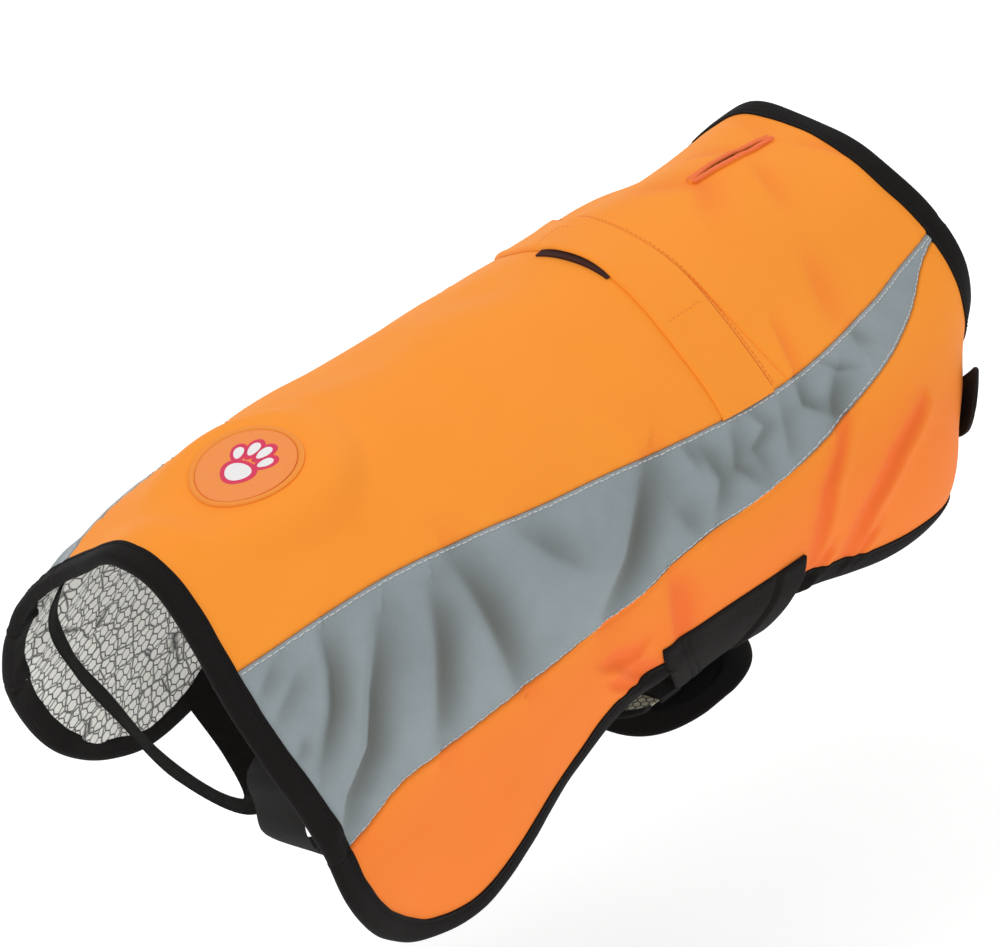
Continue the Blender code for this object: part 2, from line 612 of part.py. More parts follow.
def badge():
    """Round moulded badge: a disc on the back with a raised rim, a groove inside it and a flat field."""
    turn = np.linspace(0, 2 * np.pi, 29)[:-1]
    low = CLOTH + 2 * GAP
    high = low + BADGE_THICK
    field = high - 0.2 * MM
    profile = ((0.34, low), (0.70, low), (1.0, low), (1.0, high - 0.6 * MM), (0.96, high), (0.90, high),
               (0.87, high - 0.6 * MM), (0.83, field), (0.42, field))
    rings = [on_vest(BADGE_ALONG + share * BADGE_RADIUS * np.cos(turn),
                     share * BADGE_RADIUS * np.sin(turn), out) for share, out in profile]
    under = on_vest(np.array([BADGE_ALONG]), np.array([0.0]), low)
    over = on_vest(np.array([BADGE_ALONG]), np.array([0.0]), field)
    points = np.concatenate([under, *rings, over])
    sides = len(turn)
    number = 1 + np.arange(len(rings) * sides).reshape(len(rings), sides)
    turned = np.roll(number, -1, axis=1)
    faces = np.stack([number[:-1], turned[:-1], turned[1:], number[1:]], axis=-1).reshape(-1, 4).tolist()
    faces += [[0, int(b), int(a)] for a, b in zip(number[0], turned[0])]
    faces += [[len(points) - 1, int(a), int(b)] for a, b in zip(number[-1], turned[-1])]
    make_object("badge", points, faces, BADGE_ORANGE, 0.45)


def belly_facing():
    """Mesh facing, bound on its curved rear edge, under the corner between the rear lobe and the band."""
    u, v = np.meshgrid(np.linspace(0, 1, 7), np.linspace(0, 1, 5), indexing="ij")
    rear = FACING_REAR + 16 * MM * (1 - np.sqrt(np.clip(1 - (1.6 * np.maximum(u - 0.4, 0)) ** 2, 0, 1)))
    along = span(rear, BAND_REAR + 15 * MM, v)
    outward = span(78 * MM, 98 * MM, u)
    height = span(FACING_LOW - 2 * MM, FACING_LOW, u)

    def place(along, outward, out):
        return np.stack([outward, along, height + out], axis=-1) - ORIGIN

    sheet_solid("belly_facing", place, along, outward, 0.0, FACING_THICK, CREAM)


# --- build ---------------------------------------------------------------------------------------------
def clear_scene():
    for thing in list(bpy.data.objects):
        bpy.data.objects.remove(thing, do_unlink=True)


clear_scene()
back_rear()
back_front()
cross_flap()
hook_tape()
lead_slit()
badge()
rear_binding()
neck_binding()
band_right()
band_left()
lobe_border()
chest_tab()
belly_facing()
for side, word in ((1, "right"), (-1, "left")):
    insert(side, word)
    side_panel(side, word)
    lining(side, word)
    leg_binding(side, word)
    leg_loop(side, word)
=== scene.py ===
# %% [markdown]
# # A high-visibility dog vest, rebuilt as a worn, hollow shell
# The vest is sewn from thin coated cloth. It has an orange back and sides, a grey reflective insert on
# each side, black tape round every edge, a black belly band and a hexagon mesh lining. Nothing fills it.
# Every piece lies on one imaginary surface, the form. So the lesson first writes the form as a function
# of two lengths that a maker can measure on the cloth: how far along the back, and how far down the side.

# %% Load the frame
from collections import namedtuple
import bpy
import numpy as np
from mathutils import Matrix


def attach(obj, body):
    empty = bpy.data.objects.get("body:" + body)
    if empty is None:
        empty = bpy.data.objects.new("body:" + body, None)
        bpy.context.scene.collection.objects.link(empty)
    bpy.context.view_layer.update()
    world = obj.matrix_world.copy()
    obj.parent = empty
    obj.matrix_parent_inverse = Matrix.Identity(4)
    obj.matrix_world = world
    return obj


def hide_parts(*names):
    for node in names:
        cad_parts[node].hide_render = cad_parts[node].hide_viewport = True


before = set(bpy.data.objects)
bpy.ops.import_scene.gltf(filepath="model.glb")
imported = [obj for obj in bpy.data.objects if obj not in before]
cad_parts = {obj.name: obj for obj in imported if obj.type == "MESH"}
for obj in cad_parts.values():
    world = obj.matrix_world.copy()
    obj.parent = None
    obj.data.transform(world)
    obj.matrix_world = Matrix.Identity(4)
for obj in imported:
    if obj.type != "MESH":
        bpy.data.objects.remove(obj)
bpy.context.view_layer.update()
MM = 0.001
SIDES = ((1, "right"), (-1, "left"))

# %% [markdown]
# ## Camera, light and floor
# The photograph looks down on the vest from behind its right side through a long lens, so lines that run
# away stay nearly parallel. The camera is placed from two angles and a distance, which is easier to adjust
# than three coordinates. The light is that of a white studio: a big soft key, a fill, and a bright room.

# %% Camera
AZIMUTH = np.radians(40.87)     # round from straight behind, towards the right side
ELEVATION = np.radians(35.78)
DISTANCE = 1.740
AIM = np.array([0.0, -0.025, -0.0657])
SHIFT_RIGHT, SHIFT_DOWN = 0.0132, 0.0022    # the camera slides sideways without turning
FOCAL_LENGTH, SENSOR_WIDTH = 144, 36        # mm


def stand(data, name, right, up, back, place):
    """Put an object into the scene at a place, with its own X, Y and Z along right, up and back."""
    thing = bpy.data.objects.new(name, data)
    bpy.context.scene.collection.objects.link(thing)
    turn = np.eye(4)
    turn[:3, 0], turn[:3, 1], turn[:3, 2], turn[:3, 3] = right, up, back, place
    thing.matrix_world = Matrix(turn.tolist())
    return thing


def place_camera():
    """right = (cos az, sin az, 0); back = the way from the aim to the camera; up = back x right."""
    right = np.array([np.cos(AZIMUTH), np.sin(AZIMUTH), 0])
    level = np.cos(ELEVATION)
    back = np.array([np.sin(AZIMUTH) * level, -np.cos(AZIMUTH) * level, np.sin(ELEVATION)])
    up = np.cross(back, right)
    eye = AIM + back * DISTANCE + right * SHIFT_RIGHT - up * SHIFT_DOWN
    data = bpy.data.cameras.new("camera")
    data.lens = FOCAL_LENGTH
    data.sensor_width = SENSOR_WIDTH
    data.clip_end = 20
    bpy.context.scene.camera = stand(data, "camera", right, up, back, eye)
    return eye


eye = place_camera()
print("camera at", np.round(eye, 3).tolist())

# %% Light, room and floor
FLOOR = -0.36           # height of the floor
ROOM_STRENGTH = 0.62    # of the white light from all round


def unit(arrow):
    """The same direction with length 1; works on one arrow or on a whole grid of them."""
    return arrow / np.linalg.norm(arrow, axis=-1, keepdims=True)


def area_light(name, place, aim, size, power):
    """A round soft light at a place, turned to the aim; size in metres, power in watts."""
    data = bpy.data.lights.new(name, "AREA")
    data.shape = "DISK"
    data.size = size
    data.energy = power
    back = unit(np.array(place, float) - np.array(aim, float))
    side = unit(np.cross([0, 0, 1], back))
    stand(data, name, side, np.cross(back, side), back, place)


area_light("key", (-0.9, -0.7, 1.9), (0, 0, -0.05), 1.7, 17)
area_light("fill", (2.0, -0.6, 0.9), (0, 0, -0.1), 1.6, 10)
area_light("rim", (-0.4, 1.8, 1.2), (0, 0, -0.05), 1.0, 7)
world = bpy.data.worlds.new("room")
bpy.context.scene.world = world
world.use_nodes = True
background = world.node_tree.nodes["Background"]
background.inputs["Color"].default_value = (1, 1, 1, 1)
background.inputs["Strength"].default_value = ROOM_STRENGTH
bpy.context.scene.view_settings.view_transform = "Standard"

# %% [markdown]
# ## Finishes
# A finish is a small node network. Cloth needs a weave that follows the piece, so every piece carries a UV
# map whose two numbers are simply metres along the back and metres round the body: a pattern written in
# millimetres then has its real size on every piece. The helper below makes one node and fills its sockets,
# which keeps each network readable.

# %% Node helpers
def add(tree, kind, operation=None, **sockets):
    """One node. A socket is named with _ for a space, or numbered: i0, i1. A value may be a number, a colour
    or another node's output."""
    item = tree.nodes.new("ShaderNode" + kind)
    if operation:
        if hasattr(item, "operation"):
            item.operation = operation
        else:
            item.data_type = operation
    for key, value in sockets.items():
        numbered = key[0] == "i" and key[1:].isdigit()
        socket = item.inputs[int(key[1:]) if numbered else key.replace("_", " ")]
        if isinstance(value, bpy.types.NodeSocket):
            tree.links.new(value, socket)
        else:
            socket.default_value = value
    return item


def maths(tree, operation, *values):
    return add(tree, "Math", operation, **{f"i{i}": value for i, value in enumerate(values)}).outputs[0]


def tint(tree, factor, dark, light):
    """A colour between two, by a factor from 0 to 1. Each may be a plain colour or another node's output."""
    item = add(tree, "Mix", "RGBA")
    item.clamp_factor = True
    tree.links.new(factor, item.inputs[0])
    for socket, value in ((item.inputs[6], dark), (item.inputs[7], light)):
        if isinstance(value, bpy.types.NodeSocket):
            tree.links.new(value, socket)
        else:
            socket.default_value = (*value, 1)
    return item.outputs[2]


def new_finish(name, roughness, specular=0.5, sheen=0.0):
    material = bpy.data.materials.new(name)
    material.use_nodes = True
    tree = material.node_tree
    shader = tree.nodes["Principled BSDF"]
    shader.inputs["Roughness"].default_value = roughness
    shader.inputs["Specular IOR Level"].default_value = specular
    shader.inputs["Sheen Weight"].default_value = sheen
    return material, tree, shader


def cloth_places(tree):
    """The piece's own measured places, in millimetres."""
    uv = add(tree, "UVMap")
    uv.uv_map = "cloth"
    return add(tree, "VectorMath", "SCALE", i0=uv.outputs[0], i3=1000.0).outputs[0]


def weave(tree, places, period):
    """Height of a plain weave: two crossed sets of threads, over and under."""
    parts = add(tree, "SeparateXYZ", i0=places)
    turn = 2 * np.pi / period
    warp = maths(tree, "SINE", maths(tree, "MULTIPLY", parts.outputs[0], turn))
    weft = maths(tree, "SINE", maths(tree, "MULTIPLY", parts.outputs[1], turn))
    return maths(tree, "MULTIPLY", warp, weft)


def noise(tree, places, size, detail=3.0, roughness=0.55):
    return add(tree, "TexNoise", Vector=places, Scale=1.0 / size, Detail=detail, Roughness=roughness).outputs[0]


def bump(tree, shader, height, distance, strength=1.0):
    item = add(tree, "Bump", Strength=strength, Distance=distance, Height=height)
    tree.links.new(item.outputs[0], shader.inputs["Normal"])


# %% Orange cloth
def read_painted_shade(tree):
    """Painted shade, 0 to 1, from the attribute that every panel carries: how deep in a crease the cloth is, and on
    the orange how low on the sides.
    """
    item = add(tree, "Attribute")
    item.attribute_name = "painted_shade"
    return item.outputs["Fac"]


def orange_finish():
    """Hi-vis orange: nearly even, a little deeper in slow patches, with a fine weave; painted shade makes it redder in
    creases and low on the sides.
    """
    material, tree, shader = new_finish("orange_cloth", 0.7, 0.18, 0.02)
    places = cloth_places(tree)
    slow = noise(tree, places, 60.0, 2.0)
    colour = tint(tree, slow, (0.935, 0.290, 0.024), (0.96, 0.318, 0.032))
    # painted shade: redder where the attribute marks creases and the low sides
    colour = tint(tree, read_painted_shade(tree), colour, (0.88, 0.165, 0.026))
    tree.links.new(colour, shader.inputs["Base Color"])
    threads = maths(tree, "MULTIPLY", weave(tree, places, 0.62), 0.5)
    fine = maths(tree, "ADD", threads, noise(tree, places, 2.2, 4.0))
    bump(tree, shader, fine, 0.00006, 0.5)
    return material


ORANGE = orange_finish()


# %% Reflective grey cloth
def grey_finish():
    """Grey glass-bead cloth: satin, darker in creases as painted shade, with a faint mottle
    and a fine speckle."""
    material, tree, shader = new_finish("reflective_cloth", 0.45, 0.4)
    places = cloth_places(tree)
    mottle = noise(tree, places, 30.0, 4.0, 0.6)
    speckle = noise(tree, places, 0.9, 3.0, 0.7)
    mixed = maths(tree, "ADD", maths(tree, "MULTIPLY", mottle, 0.6),
                  maths(tree, "MULTIPLY", speckle, 0.4))
    colour = tint(tree, mixed, (0.170, 0.202, 0.214), (0.345, 0.400, 0.425))
    # painted shade: darker where the attribute marks creases
    colour = tint(tree, read_painted_shade(tree), colour, (0.108, 0.118, 0.108))
    tree.links.new(colour, shader.inputs["Base Color"])
    fine = maths(tree, "ADD", noise(tree, places, 0.5, 2.0), noise(tree, places, 5.0, 4.0))
    bump(tree, shader, fine, 0.00012, 0.5)
    return material


GREY = grey_finish()


# %% Black tape and elastic
def black_finish(name, light, period, grain):
    """Black textile: ribs of `period` millimetres across the tape and a short nap."""
    material, tree, shader = new_finish(name, 0.92, 0.07, 0.03)
    shader.inputs["Sheen Roughness"].default_value = 0.5
    places = cloth_places(tree)
    nap = noise(tree, places, grain, 5.0, 0.7)
    colour = tint(tree, nap, (light * 0.55,) * 3, (light * 1.6, light * 1.38, light * 1.28))
    tree.links.new(colour, shader.inputs["Base Color"])
    height = maths(tree, "ADD", maths(tree, "MULTIPLY", weave(tree, places, period), 0.6), nap)
    bump(tree, shader, height, 0.00022, 0.5)
    return material


TAPE = black_finish("binding_tape", 0.0100, 1.0, 1.2)
BAND = black_finish("band_cloth", 0.0125, 0.8, 2.5)
ELASTIC = black_finish("elastic", 0.0095, 1.6, 0.8)
PILE = black_finish("loop_pile", 0.008, 1.3, 1.6)
LOBE = black_finish("lobe_cloth", 0.0115, 0.9, 1.4)


# %% Hexagon mesh lining
def hexagon_edge(tree, places, period):
    """0 in the middle of a hexagon, 0.5 on its edge. Two shifted rectangular grids of centres are tried and
    the nearer centre is kept; then edge = max(|x|, |x|/2 + |y| * 0.866), in periods."""
    parts = add(tree, "SeparateXYZ", i0=places)
    x = maths(tree, "DIVIDE", parts.outputs[0], period)
    y = maths(tree, "DIVIDE", parts.outputs[1], period)
    tall = float(np.sqrt(3))
    found = []
    for shift in (0.0, 0.5):
        a = maths(tree, "ABSOLUTE", maths(tree, "WRAP", maths(tree, "ADD", x, shift), 0.5, -0.5))
        b = maths(tree, "ADD", y, shift * tall)
        b = maths(tree, "ABSOLUTE", maths(tree, "WRAP", b, tall / 2, -tall / 2))
        far = maths(tree, "ADD", maths(tree, "MULTIPLY", a, a), maths(tree, "MULTIPLY", b, b))
        skew = maths(tree, "ADD", maths(tree, "MULTIPLY", a, 0.5),
                     maths(tree, "MULTIPLY", b, tall / 2))
        found.append((far, maths(tree, "MAXIMUM", a, skew)))
    second = maths(tree, "LESS_THAN", found[1][0], found[0][0])
    first = maths(tree, "SUBTRACT", 1.0, second)
    return maths(tree, "ADD", maths(tree, "MULTIPLY", found[0][1], first),
                 maths(tree, "MULTIPLY", found[1][1], second))


def mesh_finish(name, period, cell, light, dark_light, line):
    """Cream knit under a black net of small hexagons, with a second, thicker net of large loose cells.
    period and cell are the two nets' sizes in millimetres; the net is black where the edge is over `line`."""
    material, tree, shader = new_finish(name, 0.8, 0.3, 0.2)
    places = cloth_places(tree)
    wobble = add(tree, "TexNoise", Vector=places, Scale=0.12, Detail=2.0)
    shift = add(tree, "VectorMath", "SCALE", i0=wobble.outputs[1], i3=2.2).outputs[0]
    moved = add(tree, "VectorMath", "ADD", i0=places, i1=shift).outputs[0]
    edge = hexagon_edge(tree, moved, period)
    net = maths(tree, "MULTIPLY", maths(tree, "SUBTRACT", edge, line), 12.0)
    net = add(tree, "Clamp", Value=net).outputs[0]
    cells = add(tree, "TexVoronoi", Vector=moved, Scale=1 / cell, Randomness=0.6)
    cells.feature = "DISTANCE_TO_EDGE"
    inside = add(tree, "Clamp", Value=maths(tree, "MULTIPLY", cells.outputs[0], 14.0)).outputs[0]
    thick = maths(tree, "SUBTRACT", 1.0, inside)
    dark = maths(tree, "MAXIMUM", net, thick)
    knit = tint(tree, noise(tree, places, 1.1, 3.0), dark_light, light)
    tree.links.new(tint(tree, dark, knit, (0.03, 0.028, 0.026)), shader.inputs["Base Color"])
    height = maths(tree, "ADD", dark, maths(tree, "MULTIPLY", noise(tree, places, 0.8, 2.0), 0.4))
    bump(tree, shader, height, 0.0004, 0.8)
    return material


MESH = mesh_finish("mesh_lining", 5.2, 11.0, (0.97, 0.965, 0.92), (0.80, 0.79, 0.74), 0.40)
# painted shade: the facing's mesh has the lining's colours darkened to about half and browned, for it lies in shade
# behind the band
SHADED_FACING_MESH = mesh_finish("mesh_facing_shaded", 3.6, 40.0, (0.46, 0.43, 0.31), (0.28, 0.26, 0.18), 0.36)


# %% Threads, badge rubber and hook tape
def plain_finish(name, colour, roughness, specular, grain, depth):
    """One colour, a little mottled, over small bumps: `grain` is their size and `depth` their height, in mm."""
    material, tree, shader = new_finish(name, roughness, specular)
    places = add(tree, "TexCoord").outputs["Object"]
    grains = add(tree, "TexNoise", Vector=places, Scale=1.0 / (grain * MM), Detail=3.0).outputs[0]
    dark = tuple(c * 0.82 for c in colour)
    tree.links.new(tint(tree, grains, dark, colour), shader.inputs["Base Color"])
    bump(tree, shader, grains, depth * MM, 0.6)
    return material


ORANGE_THREAD = plain_finish("orange_thread", (0.90, 0.225, 0.04), 0.7, 0.2, 0.4, 0.05)
SEAM_SHADE = plain_finish("seam_shade", (0.66, 0.15, 0.025), 0.8, 0.1, 0.4, 0.05)
SEAM_THREAD = plain_finish("seam_thread", (0.86, 0.17, 0.035), 0.7, 0.2, 0.4, 0.05)
GREY_THREAD = plain_finish("grey_thread", (0.62, 0.64, 0.65), 0.5, 0.5, 0.4, 0.05)
BLACK_THREAD = plain_finish("black_thread", (0.012, 0.011, 0.011), 0.8, 0.2, 0.4, 0.05)
RED_THREAD = plain_finish("welt_thread", (0.98, 0.235, 0.085), 0.7, 0.2, 0.4, 0.05)
BADGE = plain_finish("badge_rubber", (0.96, 0.305, 0.072), 0.55, 0.25, 0.7, 0.03)
RIM = plain_finish("badge_rim", (0.95, 0.315, 0.040), 0.55, 0.25, 0.7, 0.03)
BADGE_WHITE = plain_finish("badge_white", (0.92, 0.90, 0.90), 0.4, 0.5, 0.7, 0.02)
BADGE_RED = plain_finish("badge_red", (0.75, 0.02, 0.10), 0.4, 0.5, 0.7, 0.02)
HOOKS = plain_finish("hook_tape", (0.050, 0.014, 0.011), 0.8, 0.3, 0.5, 0.3)
SHADOW = plain_finish("slit_shadow_sheet", (0.10, 0.022, 0.008), 0.9, 0.1, 1.0, 0.05)
print("finishes:", len(bpy.data.materials))

# %% [markdown]
# ## The form
# A cross-section of the vest is described by how steep the cloth is at each distance round the body. This
# is how a maker drapes cloth: lengths on the cloth are true, and the shape follows from walking down it.
# Between the tabled sections the steepness is blended smoothly.

# %% Table of sections
SLOPE_AT = (0, 25, 50, 80, 120, 160, 200, 240, 290, 335)
SECTIONS = (
    # along top lean  steepness in degrees at each distance of SLOPE_AT
    (0, 3, 0, 0, 39, 45, 44, 68, 75, 91, 100, 92, 92),
    (50, 9, 0, 0, 29, 36, 46, 71, 81, 89, 94, 100, 105),
    (120, 10, 0, 0, 24, 31, 47, 70, 83, 87, 100, 146, 170),
    (200, 9, 0, 0, 24, 34, 45, 66, 86, 107, 170, 180, 180),
    (280, 8, 9, 0, 24, 36, 41, 56, 82, 110, 168, 180, 180),
    (312, 8, 16, 0, 26, 39, 41, 51, 81, 93, 132, 172, 180),
    (340, 8, 22, 0, 27, 41, 41, 47, 80, 94, 136, 172, 180),
    (390, 6, 18, 0, 24, 44, 45, 53, 95, 118, 158, 180, 180),
    (430, 3, 12, 0, 12, 41, 49, 79, 120, 152, 180, 180, 180),
    (458, 0, 11, 0, 2, 37, 53, 108, 149, 177, 192, 190, 190),
)
CENTRE_SHIFT = -5.5 * MM        # the vest sits this far over to the left
FORM_LENGTH = 458 * MM
LINING_INSIDE = 2.9 * MM        # lining's inner face, in from the form


def smooth(knots, values, at):
    """A smooth curve through knots: a cubic between neighbours, with mean slopes at the knots."""
    knots, values, at = np.asarray(knots, float), np.asarray(values, float), np.asarray(at, float)
    tangents = np.gradient(values, knots, axis=-1)
    i = np.clip(np.searchsorted(knots, at) - 1, 0, len(knots) - 2)
    span = knots[i + 1] - knots[i]
    t = (at - knots[i]) / span
    return ((2 * t ** 3 - 3 * t ** 2 + 1) * values[..., i] + (t ** 3 - 2 * t ** 2 + t) * span * tangents[..., i]
            + (3 * t ** 2 - 2 * t ** 3) * values[..., i + 1] + (t ** 3 - t ** 2) * span * tangents[..., i + 1])


# %% Walk down the sections
STEP = 1.0 * MM                 # of the walk down a section
ROWS = 459                      # sections in the form's grid
GIRTH_END = 380 * MM            # each section is walked this far down


def draw_form():
    """across = sum of cos(steepness) * step; drop = sum of sin(steepness) * step; the section then leans
    towards the neck, and is mirrored to the left."""
    table = np.array(SECTIONS, float)
    stations = np.linspace(0, FORM_LENGTH, ROWS)
    columns = smooth(table[:, 0] * MM, table[:, 1:].T, stations)
    lean = np.radians(columns[1])[:, None]
    girths = np.arange(0, GIRTH_END + STEP / 2, STEP)
    knots = np.array(SLOPE_AT) * MM
    steep = np.radians(smooth(knots, columns[2:].T, np.minimum(girths, knots[-1])))
    middle = (steep[:, 1:] + steep[:, :-1]) / 2
    zero = np.zeros((ROWS, 1))
    across = np.concatenate([zero, np.cumsum(np.cos(middle), axis=1) * STEP], axis=1)
    drop = np.concatenate([zero, np.cumsum(np.sin(middle), axis=1) * STEP], axis=1)
    right = np.stack([across, stations[:, None] + drop * np.sin(lean),
                      columns[0][:, None] * MM - drop * np.cos(lean)], -1)
    return np.concatenate([right[:, :0:-1] * np.array([-1.0, 1, 1]), right], axis=1)


FORM = draw_form()
NORMAL = unit(np.cross(np.gradient(FORM, axis=1), np.gradient(FORM, axis=0)))
MIDDLE = (FORM.shape[1] - 1) // 2
WIDEST = 120                    # steps down; from here on a section turns back to the middle plane
CLOSING = np.array([np.interp(0, -row, np.arange(len(row)) * STEP)
                    for row in FORM[:, MIDDLE + WIDEST:, 0]]) + WIDEST * STEP
print("form grid:", FORM.shape)


# %% Read the form anywhere
def read(grid, along, girth):
    """Value of a grid between its points: a mean of the four nearest, weighed by nearness. A place a little
    past the tail or the neck is read on the straight line through the last two rows."""
    row = np.clip(along / FORM_LENGTH * (ROWS - 1), -12, ROWS + 11)
    column = np.clip(girth / STEP + MIDDLE, 0, grid.shape[1] - 1.001)
    i = np.clip(np.floor(row).astype(int), 0, ROWS - 2)
    j = np.floor(column).astype(int)
    a, b = (row - i)[..., None], (column - j)[..., None]
    behind = grid[i, j] * (1 - b) + grid[i, j + 1] * b
    ahead = grid[i + 1, j] * (1 - b) + grid[i + 1, j + 1] * b
    return behind * (1 - a) + ahead * a


MOUNT_ALONG = 225 * MM          # the back carries the vest here: the frame's origin
ORIGIN = read(FORM, np.array([MOUNT_ALONG]), np.array([0.0]))[0] * np.array([0, 1, 1])
ORIGIN = ORIGIN - np.array([0, 0, LINING_INSIDE])


def outward(along, girth):
    """The form's outward direction at each place."""
    return unit(read(NORMAL, along, np.asarray(girth, float) + CENTRE_SHIFT + 0 * along))


def on_form(along, girth, out):
    """place = form(along, girth) + outward normal * out, in the frame's own axes."""
    along = np.asarray(along, float)
    girth = np.asarray(girth, float) + 0 * along
    out = (np.asarray(out) + 0 * along)[..., None]
    return read(FORM, along, girth + CENTRE_SHIFT) + outward(along, girth) * out - ORIGIN


def closing_girth(along):
    """Distance round at which the section comes back to the middle plane."""
    return np.interp(along, np.linspace(0, FORM_LENGTH, ROWS), CLOSING)


# %% [markdown]
# ## Folds
# Cloth on a body shows soft troughs where it is pulled together, each with a low ridge beside it. A fold is
# written as a short path on the cloth with a width and a depth. All folds are summed into one relief that
# every piece reads, so the lining, seams and tapes move with the panels and never cut through them.

# %% Table of folds
# path of (along, distance down from the back's middle) in mm; half width; depth; ridge beside it, as a share
FOLDS_RIGHT = (
    (((21, 73), (7, 81)), 3.0, 0.8, 0.5),
    (((27, 83), (7, 93)), 3.0, 0.8, 0.5),
    (((43, 77), (38, 91), (31, 103), (16, 119)), 4.5, 1.8, 0.6),
    (((15, 105), (8, 110)), 2.5, 0.8, 0.5),
    (((67, 87), (50, 110), (40, 128), (25, 139), (18, 152)), 6.0, 3.2, 0.6),
    (((96, 90), (83, 123), (75, 146)), 7.0, 1.9, 0.4),
    (((112, 84), (115, 105), (119, 130), (122, 148)), 6.5, 1.8, 0.5),
    (((149, 90), (158, 103), (172, 117)), 5.0, 1.0, 0.4),
    (((228, 94), (212, 112), (198, 128), (179, 143)), 6.5, 2.3, 0.6),
    (((228, 119), (234, 136)), 4.5, 0.9, 0.4),
    (((246, 97), (248, 112)), 3.5, 1.0, 0.5),
    (((254, 103), (255, 121), (245, 133)), 4.0, 1.3, 0.6),
    (((272, 105), (264, 120), (271, 133)), 3.6, 1.2, 0.6),
    (((283, 102), (286, 113), (275, 118), (276, 130)), 3.0, 1.1, 0.6),
    (((299, 108), (294, 118), (288, 131)), 3.2, 0.9, 0.6),
    (((311, 104), (307, 115), (313, 125)), 2.8, 1.3, 0.7),
    (((324, 103), (329, 112), (336, 117)), 1.7, 0.7, 0.6),
    (((328, 113), (319, 121), (313, 130)), 4.0, 1.4, 0.6),
    (((352, 100), (347, 111)), 4.0, 0.8, 0.4),
    (((215, 145), (216, 164), (217, 183)), 5.0, 1.2, 0.5),
    (((173, 168), (189, 173), (196, 171)), 3.4, 1.5, 0.8),
    (((183, 173), (196, 186), (207, 190)), 3.4, 1.7, 0.8),
    (((178, 180), (192, 189)), 3.0, 1.2, 0.8),
    (((284, 186), (297, 155), (318, 133)), 2.8, 1.6, 0.7),
    (((298, 200), (311, 181), (330, 163), (357, 148)), 3.2, 2.2, 0.7),
    (((302, 204), (312, 194)), 2.4, 1.2, 0.7),
    (((276, 198), (284, 193)), 2.6, 2.0, 0.9),
    (((286, 196), (292, 186)), 2.2, 1.3, 0.9),
    (((324, 76), (318, 90), (313, 103)), 2.6, 0.8, 0.5),
    (((368, -5), (356, 8), (344, 19)), 6.0, 0.7, 0.3),
    (((366, 60), (352, 84), (346, 96)), 6.0, 0.7, 0.3),
    (((395, 6), (388, 18), (380, 34)), 4.0, 0.6, 0.5),
    (((424, 8), (432, 20), (436, 34)), 4.0, 0.6, 0.5),
)


def fold_field(along, girth, folds, down):
    """Sum of folds: -depth * exp(-(d / w)^2) in the trough, where w is narrow behind the path and wide ahead
    of it, + share * depth * exp(-((s + 1.2 w) / 0.8 w)^2) for the ridge behind it. d is the distance to the
    path, and s the same with its sign; both fade at the path's ends."""
    place = np.stack([along / MM, girth * down / MM], axis=-1)
    total = np.zeros(place.shape[:-1])
    for path, width, depth, ridge in folds:
        knots = np.array(path, float)
        legs = np.diff(knots, axis=0)
        lengths = np.hypot(legs[:, 0], legs[:, 1])
        nearest = np.full(total.shape, 1e9)
        signed = np.zeros(total.shape)
        run = np.zeros(total.shape)
        for k, leg in enumerate(legs):
            away = place - knots[k]
            t = np.clip((away @ leg) / lengths[k] ** 2, 0, 1)
            gap = away - t[..., None] * leg
            distance = np.hypot(gap[..., 0], gap[..., 1])
            closer = distance < nearest
            nearest = np.where(closer, distance, nearest)
            side = np.sign(leg[1] * gap[..., 0] - leg[0] * gap[..., 1])
            signed = np.where(closer, side * distance, signed)
            run = np.where(closer, (lengths[:k].sum() + t * lengths[k]) / lengths.sum(), run)
        fade = np.sin(np.pi * np.clip(0.08 + 0.84 * run, 0, 1)) ** 0.7
        reach = width * np.where(signed < 0, 0.55, 1.35)
        behind = np.exp(-((signed + 1.2 * width) / (0.8 * width)) ** 2)
        total += fade * depth * (ridge * behind - np.exp(-(nearest / reach) ** 2))
    return total * MM


def left_fold(i, path, width, depth, ridge):
    """The left side has the same kinds of fold, each moved and made larger or smaller in its own way."""
    moved = tuple((a + 7 * np.sin(i * 2.3), g + 4 * np.cos(i * 1.7)) for a, g in path)
    return moved, width * (0.9 + 0.2 * (i % 3)), depth * (0.7 + 0.15 * (i % 4)), ridge


FOLDS_LEFT = tuple(left_fold(i, *fold) for i, fold in enumerate(FOLDS_RIGHT))
print("folds:", len(FOLDS_RIGHT) + len(FOLDS_LEFT))

# %% Seam lines, as (along, distance down) in mm
INSERT_TOP = ((0, 66), (25, 69), (50, 71.7), (87, 75), (131, 81), (165, 86), (201, 90), (245, 96.4), (291, 101.6),
              (315, 102.3), (343, 100.3), (363, 97.2), (388, 93), (410, 87.8), (429, 84), (451, 79))
INSERT_LOW = ((0, 160), (25, 158), (47, 152.5), (73, 153.3), (109, 152.5), (140, 150.5), (173, 148.8), (197, 147),
              (220, 141), (240, 138.5), (266, 139.5), (301, 135), (328, 128.5), (342, 125.5), (373, 117), (409, 102),
              (420, 94.5), (451, 81))
